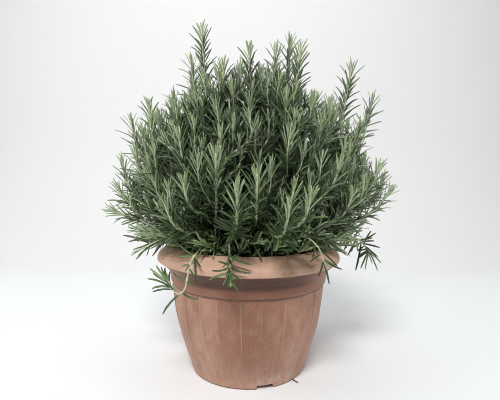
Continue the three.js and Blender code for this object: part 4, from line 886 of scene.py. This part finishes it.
def add_leaves(pc, kind, B, D, UP, L, W, bend, roll, age_and_shade, tint):
    """Closed narrow leaves. B base, D starting direction, UP upper side's normal, all (n, 3)."""
    n = len(B)
    if not n:
        return
    D = unit(D)
    UP = unit(UP - D * (UP * D).sum(1, keepdims=True))
    S = np.cross(D, UP)
    ROWS, WIDE, SECTION, SECTION_U = kind["rows"], kind["wide"], kind["section"], kind["u"]
    m, k = len(ROWS), len(SECTION)
    P = np.zeros((n, m, k, 3))
    pos, prev = B.copy(), 0.0
    dirs, ups, sides = [], [], []
    cen = np.zeros((n, m, 3))
    for i, t in enumerate(ROWS):
        # the leaf bends steadily: positive away from the stem's tip side
        ang = bend * t
        d = D * np.cos(ang)[:, None] - UP * np.sin(ang)[:, None]
        if i:
            mid = bend * (t + prev) / 2
            dm = D * np.cos(mid)[:, None] - UP * np.sin(mid)[:, None]
            pos = pos + dm * (L * (t - prev))[:, None]
        up = UP * np.cos(ang)[:, None] + D * np.sin(ang)[:, None]
        tw = roll * t
        s2 = S * np.cos(tw)[:, None] + up * np.sin(tw)[:, None]
        u2 = up * np.cos(tw)[:, None] - S * np.sin(tw)[:, None]
        half = W * 0.5 * WIDE[i]
        P[:, i] = pos[:, None] + half[:, None, None] * (SECTION[None, :, :1] * s2[:, None] + SECTION[None, :, 1:] * u2[:, None])
        cen[:, i] = pos
        prev = t
    endd = D * np.cos(bend)[:, None] - UP * np.sin(bend)[:, None]
    tip = pos + endd * (L * (1 - ROWS[-1]))[:, None]
    V = np.concatenate([P.reshape(n, m * k, 3), tip[:, None], B[:, None] - D[:, None] * 0.3], 1)
    per = m * k + 2
    i, j = np.meshgrid(np.arange(m - 1), np.arange(k), indexing="ij")
    j2 = (j + 1) % k
    q = np.stack([i * k + j, (i + 1) * k + j, (i + 1) * k + j2, i * k + j2], -1).reshape(-1, 4)
    a = np.arange(k)
    a2 = (a + 1) % k
    e = (m - 1) * k
    t1 = np.stack([e + a, np.full(k, m * k), e + a2], -1)
    t2 = np.stack([a2, np.full(k, m * k + 1), a], -1)
    off = (np.arange(n) * per)[:, None, None]
    Q = (q[None] + off).reshape(-1, 4)
    T = (np.vstack([t1, t2])[None] + off).reshape(-1, 3)
    colw = LEAF_U / K
    u0 = (np.minimum(age_and_shade * 4 + tint, K - 1) * colw)[:, None, None, None] + colw * 0.02
    cw = colw * 0.96
    fu = SECTION_U
    qa = np.stack([np.stack([fu[j], ROWS[i]], -1), np.stack([fu[j], ROWS[i + 1]], -1), np.stack([fu[j + 1], ROWS[i + 1]], -1), np.stack([fu[j + 1], ROWS[i]], -1)], -2).reshape(-1, 4, 2)
    ta = np.stack([np.stack([fu[a], np.full(k, ROWS[-1])], -1), np.stack([(fu[a] + fu[a + 1]) / 2, np.full(k, 1.0)], -1), np.stack([fu[a + 1], np.full(k, ROWS[-1])], -1)], -2)
    tb = np.stack([np.stack([fu[a + 1], np.full(k, 0.012)], -1), np.stack([(fu[a] + fu[a + 1]) / 2, np.full(k, 0.0)], -1), np.stack([fu[a], np.full(k, 0.012)], -1)], -2)

    def place(x):
        x = np.broadcast_to(x[None], (n,) + x.shape).copy()
        x[..., 0] = x[..., 0] * cw + u0[..., 0]
        x[..., 1] = 0.01 + 0.98 * x[..., 1]
        return x.reshape(-1, x.shape[-2], 2)

    pc.add(V.reshape(-1, 3), Q, T, 1, place(qa), place(np.concatenate([ta, tb])))


# ---------------------------------------------------------------- keeping clear of the pot and soil
POT_LINE = np.array(OUTSIDE + LIP + INSIDE[:3])


def clash_free(P, margin=0.6):
    """P (n, k, 3) points along each leaf. True where none is in the pot wall, in the soil, or out of reach."""
    R = np.hypot(P[..., 0], P[..., 1])
    z = P[..., 2]
    ok = (np.abs(P[..., 0]) < REACH_X + 4) & (np.abs(P[..., 1]) < REACH_Y + 4) & (z > 2) & (z < TOP + 3)
    ok &= ~((R < 111) & (z < soil_height(P[..., 0], P[..., 1]) + 1.5))
    # inside the lip or wall: between the outer and inner surfaces
    outer_r = np.interp(z, [p[1] for p in OUTSIDE[:-1]] + [173.0, 177.2, 181.6, 186.6, 190.5, 192.9],
                        [p[0] for p in OUTSIDE[:-1]] + [139.7, 138.6, 135.0, 128.4, 121.0, 114.6])
    outer_r = np.where((z > 160) & (z < 173), 140.0, outer_r)
    inside_lip = (z < 193.6 + margin) & (R > 110.5 - margin) & (R < outer_r + margin)
    ok &= ~inside_lip
    return ok.all(-1)


def leaf_points(B, D, UP, L, bend, n=6):
    D = unit(D)
    UP = unit(UP - D * (UP * D).sum(1, keepdims=True))
    out, pos, prev = [], B.copy(), 0.0
    for t in np.linspace(0.08, 1.0, n):
        mid = bend * (t + prev) / 2
        pos = pos + (D * np.cos(mid)[:, None] - UP * np.sin(mid)[:, None]) * (L * (t - prev))[:, None]
        out.append(pos.copy())
        prev = t
    return np.stack(out, 1)


def place_leaves(pc, kind, g, B, D, UP, L, W, bend, age_and_shade):
    """Adds leaves, turning or shortening those that would run into the pot or soil, and leaving out the rest."""
    if not len(B):
        return 0
    L = L.copy()
    D = unit(D)
    ok = clash_free(leaf_points(B, D, UP, L, bend))
    for trial in range(6):
        bad = ~ok
        if not bad.any():
            break
        if trial < 3:
            D[bad] = unit(D[bad] + np.array([0, 0, 0.35]) + g.normal(0, 0.15, (bad.sum(), 3)))
        else:
            L[bad] *= 0.72
            bend[bad] *= 0.5
        ok[bad] = clash_free(leaf_points(B[bad], D[bad], UP[bad], L[bad], bend[bad]))
    # leaves deep in the crown get the darkest colours: partly old leaves, partly painted shade of the crown's inside
    deep = crown_radius(B) + g.normal(0, 0.05, len(B))
    inside = 0.22 * np.clip((B[:, 2] - 330) / 80, 0, 1)
    under = np.clip((238 - B[:, 2]) / 34, 0, 1) * (B[:, 1] < 10)
    inside = inside + 0.16 * under
    W = W * (1 + 0.20 * under)
    age_and_shade = np.where(deep < 0.62 - inside, 0, np.where(deep < 0.77 - inside, np.minimum(age_and_shade, 1), age_and_shade))
    n = int(ok.sum())
    roll = g.normal(0, 0.30, n)
    tint = g.integers(0, 4, n)
    add_leaves(pc, kind, B[ok], D[ok], UP[ok], L[ok], W[ok], bend[ok], roll, age_and_shade[ok], tint)
    return n


YOUNG = 34.0            # length of the tight young end of a shoot


def leafy(pc, kind, g, line, rad, s_from, pitch, size, old=0.0, axil=2, reach=TUFT, loose=0.0, stop=None):
    """Leaves a stem: pairs at right angles to each other, small shoots in the axils, and a
    young end whose long leaves stand close round the bud before their tips turn out."""
    T, U, W = carried(line)
    seg = np.linalg.norm(np.diff(line, axis=0), axis=1)
    s = np.concatenate([[0], np.cumsum(seg)])
    total = s[-1]
    at, p = [], s_from
    while p < (total - 2.0 if stop is None else stop):
        at.append(p)
        near = min(1.0, (total - p) / YOUNG)
        worn = min(1.0, max(0.0, (total - p - 70.0) / 110.0))
        p += pitch * (0.60 + 0.40 * near) * (1 + 0.55 * worn) * g.uniform(0.85, 1.15)
    at = np.array(at)
    if not len(at):
        return at
    phase = g.uniform(0, 2 * np.pi)
    out = []

    def grow(pos, side, tan, lift, length, width, curve, a):
        d = math.sin(lift) * side + math.cos(lift) * tan
        up = math.sin(lift) * tan - math.cos(lift) * side            # upper side faces the stem
        out.append((pos, d, up, length, width, curve, a))

    for i, q in enumerate(at):
        pos = np.array([np.interp(q, s, line[:, c]) for c in range(3)])
        j = min(int(np.searchsorted(s, q)), len(T) - 1)
        t, u, w = T[j], U[j], W[j]
        r = np.interp(q, s, rad)
        left = total - q
        young = max(0.0, 1 - left / YOUNG)                            # 0 .. 1 at the bud
        lower = min(1.0, max(0.0, (left - YOUNG) / 130.0))            # 0 .. 1 far down the stem
        for h in range(2):
            ang = phase + i * math.pi / 2 + h * math.pi + g.normal(0, 0.14)
            side = math.cos(ang) * u + math.sin(ang) * w
            if young > 0:
                lift = math.radians(8 + 19 * (1 - young) ** 0.7 + g.normal(0, 3.5))
                length = min(size * 1.10, reach * 1.05 + left * 0.62) * g.uniform(0.84, 1.08)
                curve = g.normal(0.18 + 0.42 * (1 - young), 0.13)
                width = 2.85 * (1 - 0.28 * young) * g.uniform(0.9, 1.1)
                a = 3 if young > 0.45 else 2
            else:
                lift = math.radians(26.5 + 25 * lower + loose + g.normal(0, 6.5 + 0.45 * loose))
                length = size * g.uniform(0.82, 1.15)
                curve = g.normal(0.38, 0.20)
                width = 3.0 * g.uniform(0.86, 1.12)
                a = int(min(2, max(0, round(1.4 - 1.6 * lower - old + g.normal(0, 0.45)))))
            grow(pos + side * r * 0.75, side, t, lift, length, width, curve, a)
            if young < 0.25:
                for c in range(int(round(axil * (1 - 0.75 * lower)))):
                    turn = ang + g.uniform(-0.8, 0.8)
                    sd = math.cos(turn) * u + math.sin(turn) * w
                    lf = math.radians(g.uniform(12, 40) + 1.2 * loose)
                    grow(pos + sd * r * 0.75 + t * g.uniform(0.4, 2.4), sd, t, lf, size * g.uniform(0.30, 0.66), 1.8 * g.uniform(0.8, 1.1), g.normal(0.15, 0.2), int(g.integers(1, 3)))
    end, t, u, w = line[-1], T[-1], U[-1], W[-1]
    for c in range(3):
        ang = phase + 0.8 + c * 2.4
        side = math.cos(ang) * u + math.sin(ang) * w
        grow(end + side * rad[-1] * 0.3 - t * 2.0, side, t, math.radians(g.uniform(2, 9)), reach * g.uniform(0.55, 0.95), 1.5 * g.uniform(0.85, 1.15), g.normal(0.12, 0.08), 3)
    cols = list(zip(*out))
    arr = [np.array(c) for c in cols]
    place_leaves(pc, kind, g, *arr)
    return at


# the low sprigs' loose leaves: share of the stem with ordinary leaves, then one leaf each:
# place on the stem in percent, tip x y z, bend in degrees, width, age
NAMED = {
    "sprig_02": (0.36, [(44.1, -91.8, -121.0, 194.6, 14, 2.8, 2), (44.1, -88.1, -118.0, 209.4, -8, 2.7, 2), (44.1, -65.5, -133.0, 163.7, 4, 2.8, 1), (44.1, -58.4, -135.0, 183.9, -10, 2.6, 1), (50.8, -82.9, -137.0, 186.9, -12, 2.0, 2), (50.8, -77.9, -142.0, 180.7, 8, 2.2, 1), (54.2, -67.7, -140.0, 175.1, 10, 2.2, 1), (62.7, -94.8, -130.0, 178.4, -62, 2.8, 2), (62.7, -68.4, -137.0, 159.8, -14, 2.0, 2), (83.1, -109.1, -128.0, 121.1, 20, 3.0, 1), (79.7, -62.8, -132.0, 143.6, -48, 2.8, 2), (94.9, -123.3, -124.0, 153.0, 46, 2.9, 2), (93.2, -121.9, -126.0, 149.9, 30, 2.4, 1), (94.9, -128.9, -124.0, 166.5, 34, 2.9, 2), (98.3, -126.1, -123.0, 180.5, -5, 3.0, 3), (98.3, -118.0, -122.0, 184.1, -10, 2.7, 3), (100.0, -111.3, -122.0, 182.0, -22, 2.6, 2), (96.6, -106.6, -121.0, 180.8, -36, 2.9, 2), (94.9, -99.6, -122.0, 176.6, -36, 2.8, 2), (98.3, -122.7, -121.0, 173.5, -9, 2.4, 3), (91.5, -104.7, -135.0, 168.7, 12, 2.2, 2), (89.8, -95.0, -134.0, 164.0, -10, 2.0, 3)]),
    "sprig_01": (0.46, [(74.6, -25.2, -153.0, 194.4, 5, 2.8, 2), (79.7, 4.2, -150.0, 192.1, -26, 2.8, 1), (83.1, -31.2, -156.0, 189.1, -8, 2.6, 2), (88.1, -10.7, -156.0, 203.6, 14, 2.4, 2), (91.5, 3.0, -150.0, 181.2, -26, 2.9, 1), (91.5, -44.7, -151.0, 184.7, -38, 2.9, 1), (89.8, -37.1, -153.0, 196.3, 12, 2.3, 2), (94.9, -17.9, -158.0, 173.8, 8, 2.6, 2), (96.6, -48.7, -151.0, 172.6, 14, 3.0, 2), (98.3, -12.4, -153.0, 160.2, -8, 3.4, 2), (100.0, -21.4, -157.0, 165.6, 5, 2.7, 3), (98.3, -31.1, -156.0, 167.2, 8, 2.4, 2), (96.6, -6.0, -154.0, 170.3, 10, 2.6, 1), (78.0, -15.4, -158.0, 200.4, -8, 2.6, 1), (79.7, -23.6, -160.0, 197.3, 6, 2.8, 1), (83.1, -17.1, -161.0, 189.1, -8, 2.8, 1), (86.4, -26.6, -161.0, 185.5, 8, 2.8, 2), (91.5, -26.0, -162.0, 177.3, 6, 3.0, 1), (93.2, -19.5, -163.0, 174.0, -5, 3.0, 2), (98.3, -24.2, -162.0, 165.9, 4, 3.2, 1), (98.3, -17.4, -162.0, 167.7, -6, 2.9, 2)]),
    "sprig_05": (0.62, [(62.7, 91.7, -106.0, 193.5, 6, 2.9, 1), (59.3, 56.6, -96.0, 203.5, 8, 2.8, 1), (72.9, 82.5, -114.0, 192.4, -6, 2.7, 1), (81.4, 116.2, -112.0, 180.5, 6, 2.9, 1), (78.0, 127.7, -104.0, 197.4, 10, 3.0, 1), (89.8, 77.7, -122.0, 188.5, 12, 2.4, 2), (94.9, 122.0, -114.0, 177.6, -22, 3.0, 1), (94.9, 111.6, -117.0, 183.7, -14, 2.5, 2), (98.3, 104.2, -119.0, 158.8, 5, 3.2, 1), (98.3, 89.5, -121.0, 170.1, -10, 2.6, 1), (98.3, 98.9, -122.0, 174.3, 5, 2.3, 2)]),
    "sprig_06": (0.60, [(84.7, 163.7, -16.0, 151.2, -7, 3.2, 1), (79.7, 151.0, -16.0, 174.0, 9, 2.6, 2), (86.4, 202.2, -12.0, 186.7, 7, 2.8, 1), (89.8, 198.7, -14.0, 172.1, 5, 2.7, 1), (89.8, 164.9, -16.0, 182.9, -14, 2.4, 1), (94.9, 168.0, -14.0, 173.0, -24, 2.5, 1), (96.6, 199.1, -13.0, 150.5, 5, 2.9, 2), (96.6, 172.5, -12.0, 153.8, 7, 2.7, 2), (96.6, 178.8, -14.0, 151.5, 5, 2.3, 3), (96.6, 190.8, -12.0, 160.1, -5, 2.4, 3), (93.2, 206.6, -6.0, 161.0, 4, 2.3, 2), (74.6, 144.7, -17.0, 182.9, 8, 2.8, 3), (78.0, 156.1, -17.0, 180.6, -6, 2.8, 3), (79.7, 165.9, -17.0, 181.4, 6, 2.6, 3), (72.9, 164.7, -16.0, 222.7, -12, 2.6, 3), (76.3, 172.6, -15.0, 219.5, 10, 2.6, 3), (79.7, 189.0, -15.0, 202.9, -18, 2.8, 2), (83.1, 194.4, -14.0, 210.4, -16, 2.8, 2), (84.7, 192.4, -14.0, 197.5, 16, 2.6, 2), (88.1, 186.7, -14.0, 213.5, 16, 2.5, 2), (94.9, 167.3, -15.0, 181.9, 20, 2.6, 1), (96.6, 168.7, -15.0, 174.4, 26, 2.6, 1), (98.3, 169.0, -15.0, 171.0, 34, 2.6, 1), (71.2, 148.2, -18.0, 186.2, 6, 2.6, 3), (69.5, 136.0, -18.0, 189.3, 6, 2.6, 2), (84.7, 157.3, -15.0, 187.1, -12, 2.6, 2), (89.8, 189.0, -14.0, 166.8, -6, 2.6, 3)]),
    "sprig_03": (0.52, [(71.2, -136.5, -64.0, 182.6, -8, 3.1, 0), (76.3, -155.5, -68.0, 184.2, 5, 2.8, 1), (79.7, -153.2, -70.0, 194.7, 9, 2.8, 1), (84.7, -166.8, -74.0, 204.3, 38, 2.8, 1), (88.1, -174.7, -72.0, 213.6, 20, 2.9, 1), (89.8, -159.1, -80.0, 194.7, 9, 2.6, 2), (91.5, -154.7, -82.0, 181.7, -5, 2.6, 2), (93.2, -161.4, -82.0, 186.9, 6, 2.3, 3), (78.0, -141.6, -62.0, 221.9, -10, 2.6, 2), (69.5, -139.6, -58.0, 225.6, -12, 2.6, 2), (88.1, -139.6, -82.0, 186.3, 5, 2.3, 1)]),
}


HOOK_END = [(-92.1, -127.6, 150.0), (-96.1, -126.6, 153.8), (-99.2, -125.6, 158.4), (-101.6, -124.6, 163.8)]        # the hooked sprig's last part turns up


def placed_leaves(pc, line, rad, rows):
    """Leaves from a given place on the stem to a given tip."""
    s, out, spots = along(line), [], []
    for at, tx, ty, tz, turn, wide, a in rows:
        x = at / 100 * (len(line) - 1)
        base = np.array([np.interp(x, np.arange(len(line)), line[:, c]) for c in range(3)])
        tip = np.array([tx, ty, tz])
        c = unit(tip - base)
        side = unit(np.cross(c, np.array([0.0, 1.0, 0.0])))
        if side[2] < 0:
            side = -side
        up = side * 0.74 - np.array([0.0, 1.0, 0.0]) * 0.67
        up = unit(up - c * (up @ c))
        base = base + c * rad[0] * 0.5
        h = math.radians(turn) * 1.05
        h = h if abs(h) > 1e-3 else 1e-3
        out.append((base, c * math.cos(h) + up * math.sin(h), up, np.linalg.norm(tip - base) * h / math.sin(h), wide * 1.12, 2 * h, a))
        spots.append(np.interp(x, np.arange(len(line)), s))
    B, D, UP, L, W, bend, age_and_shade = [np.array(c) for c in zip(*out)]
    k = np.arange(len(B))
    add_leaves(pc, FINE, B, D, UP, L, W, bend, 0.25 * np.sin(k * 2.3), age_and_shade, k % 4)
    return np.array(sorted(spots))


# ---------------------------------------------------------------- room that the foliage fills
# half width of the closed part of the crown at each height, as seen from the front
CROWN_Z = np.array([172, 182, 205, 226, 258, 288, 320, 350, 377, 394, 410, 436, 448, 456])
CROWN_W = np.array([132, 148, 167, 179, 186, 187, 183, 173, 158, 137, 118, 94, 76, 0])


def crown_radius(P):
    """0 on the axis, 1 on the closed part's outside."""
    w = np.interp(P[..., 2], CROWN_Z, CROWN_W)
    w = np.maximum(w, 1e-3)
    deep = np.where(P[..., 1] < 0, 0.74 + 0.16 * np.clip((P[..., 2] - 225) / 60, 0, 1), 0.92)
    return np.hypot(P[..., 0] / w, P[..., 1] / (deep * w))


class Room:
    """Points of the stems so far, kept in cells for a quick distance."""

    def __init__(self, cell):
        self.cell, self.box = cell, {}

    def key(self, p):
        return tuple(np.floor(p / self.cell).astype(int))

    def add(self, pts):
        for p in pts:
            self.box.setdefault(self.key(p), []).append(p)

    def clear(self, p, r):
        k = self.key(p)
        n = int(math.ceil(r / self.cell))
        for i in range(-n, n + 1):
            for j in range(-n, n + 1):
                for m in range(-n, n + 1):
                    for q in self.box.get((k[0] + i, k[1] + j, k[2] + m), ()):
                        if (q[0] - p[0]) ** 2 + (q[1] - p[1]) ** 2 + (q[2] - p[2]) ** 2 < r * r:
                            return False
        return True


def along(line):
    return np.concatenate([[0], np.cumsum(np.linalg.norm(np.diff(line, axis=0), axis=1))])


STEMS = {}
room = Room(14.0)
hold_p, hold_t, hold_i = [], [], []
for idx, (name, parent, r0, r1, pts) in enumerate(BRANCHES):
    line = through(pts, 60)
    STEMS[name] = line
    room.add(line[::2])
    T = carried(line)[0]
    s = along(line)
    for j in range(4, 50, 2):
        if name in NAMED and j > 60 * NAMED[name][0] - 4:
            continue
        hold_p.append(line[j])
        hold_t.append(T[j])
        hold_i.append((idx, s[j] / s[-1]))
hold_p, hold_t = np.array(hold_p), np.array(hold_t)


def fill_twigs():
    """Twigs that grow from the stems into the room between them: {stem: [line, ...]}."""
    g = np.random.default_rng(77)
    out = {b[0]: [] for b in BRANCHES}
    tries = 26000
    P = np.stack([g.uniform(-190, 190, tries), g.uniform(-175, 175, tries), g.uniform(170, 456, tries)], -1)
    rho = crown_radius(P)
    P = P[rho < 1.0]
    rho = rho[rho < 1.0]
    count = 0
    for p, q in zip(P, rho):
        flank = min(1.0, max(0.0, (abs(p[0]) - 70) / 50.0))
        need = 18.5 if q < 0.6 else 18.5 + (6.0 - 4.5 * flank) * (q - 0.6) / 0.3
        if q > (0.97 if abs(p[0]) > 95 else 0.90) and p[2] > 235:
            continue
        if p[2] < 226 and p[1] < -20 and np.hypot(p[0], p[1]) < 132:
            need = 13.6
        if not room.clear(p, need):
            continue
        if np.hypot(p[0], p[1]) < 143 and p[2] < 192:
            continue
        if np.hypot(p[0], p[1]) > 132 and p[2] < 203:
            continue
        v = p - hold_p
        d = np.linalg.norm(v, axis=1)
        vn = v / d[:, None]
        steep = vn[:, 2]
        low = p[2] < 222
        ok = (d > 36) & (d < (140 if not low else 85)) & (steep > (0.78 if not low else -0.25))
        if not ok.any():
            continue
        cost = np.abs(d - 85) + 40 * (1 - (vn * hold_t).sum(1)) + np.where(ok, 0, 1e6)
        c = int(cost.argmin())
        a, t = hold_p[c], hold_t[c]
        L = d[c]
        outw = unit(np.array([p[0], p[1], 0.0]) + 1e-6)
        first = unit(vn[c] * 0.9 + t * 0.25 + outw * 0.20 + g.normal(0, 0.10, 3))
        last = unit(np.array([0, 0, 1.25 if not low else 0.25]) + outw * (0.05 + (0.20 if not low else 0.37) * q) + vn[c] * 0.20 + g.normal(0, 0.09, 3))
        tw = through([a, a + first * L * 0.30, p - last * L * 0.32, p], 16)
        if not clash_free(tw[None, 3:])[0]:
            continue
        out[BRANCHES[hold_i[c][0]][0]].append(tw)
        room.add(tw[4:])
        count += 1
    print("fill twigs", count)
    return out


FILL = fill_twigs()

total_faces = 0
for idx, (name, parent, r0, r1, pts) in enumerate(BRANCHES):
    g = np.random.default_rng(1000 + idx)
    pc = Pieces()
    line = STEMS[name]
    if name == "sprig_02":
        line = np.vstack([line[:51], through([line[51]] + [np.array(q) for q in HOOK_END], 9)])
    s = along(line)
    total = s[-1]
    main, sprig = name.startswith("branch"), name.startswith("sprig")
    f0 = 0.30 if main else 0.20 if sprig else 0.10
    rad = np.linspace(r0, r1, 60) * (0.92 if main else 0.62 if name == "sprig_01" else 0.78 if sprig else 1.28)
    if main:
        rad = rad * (1 + 0.35 * np.exp(-s / 7.0))
    share, rows = NAMED.get(name, (None, []))
    at = leafy(pc, FINE, g, line, rad, total * f0, 6.7, 30.0 if not sprig else 25.0, 0.0, 3, stop=total * share if share else None)
    if rows:
        at = np.concatenate([at, placed_leaves(pc, line, rad, rows)])
    add_stem(pc, line, rad, 0.0 if main else 0.28, 1.0, 0, 10, at)
    for tw in FILL[name]:
        tl = along(tw)[-1]
        trad = np.linspace(1.05, 0.65, 16)
        ta = leafy(pc, PLAIN, g, tw, trad, 6.0, 7.8, min(28.5, 18 + tl * 0.15), 0.30, 3, reach=min(TUFT, 6 + tl * 0.16), loose=10.0)
        add_stem(pc, tw, trad, 0.42, 1.0, 1, 6, ta)
    ob = pc.build(name + "_leafy")
    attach(ob, "root")
    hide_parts(name)
    total_faces += len(ob.data.polygons)

for n, skin in (("root_crown", m_bark), ("stray_rootlet", root_material())):
    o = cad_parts[n]
    o.data.materials.clear()
    o.data.materials.append(skin)

print("foliage faces", total_faces)
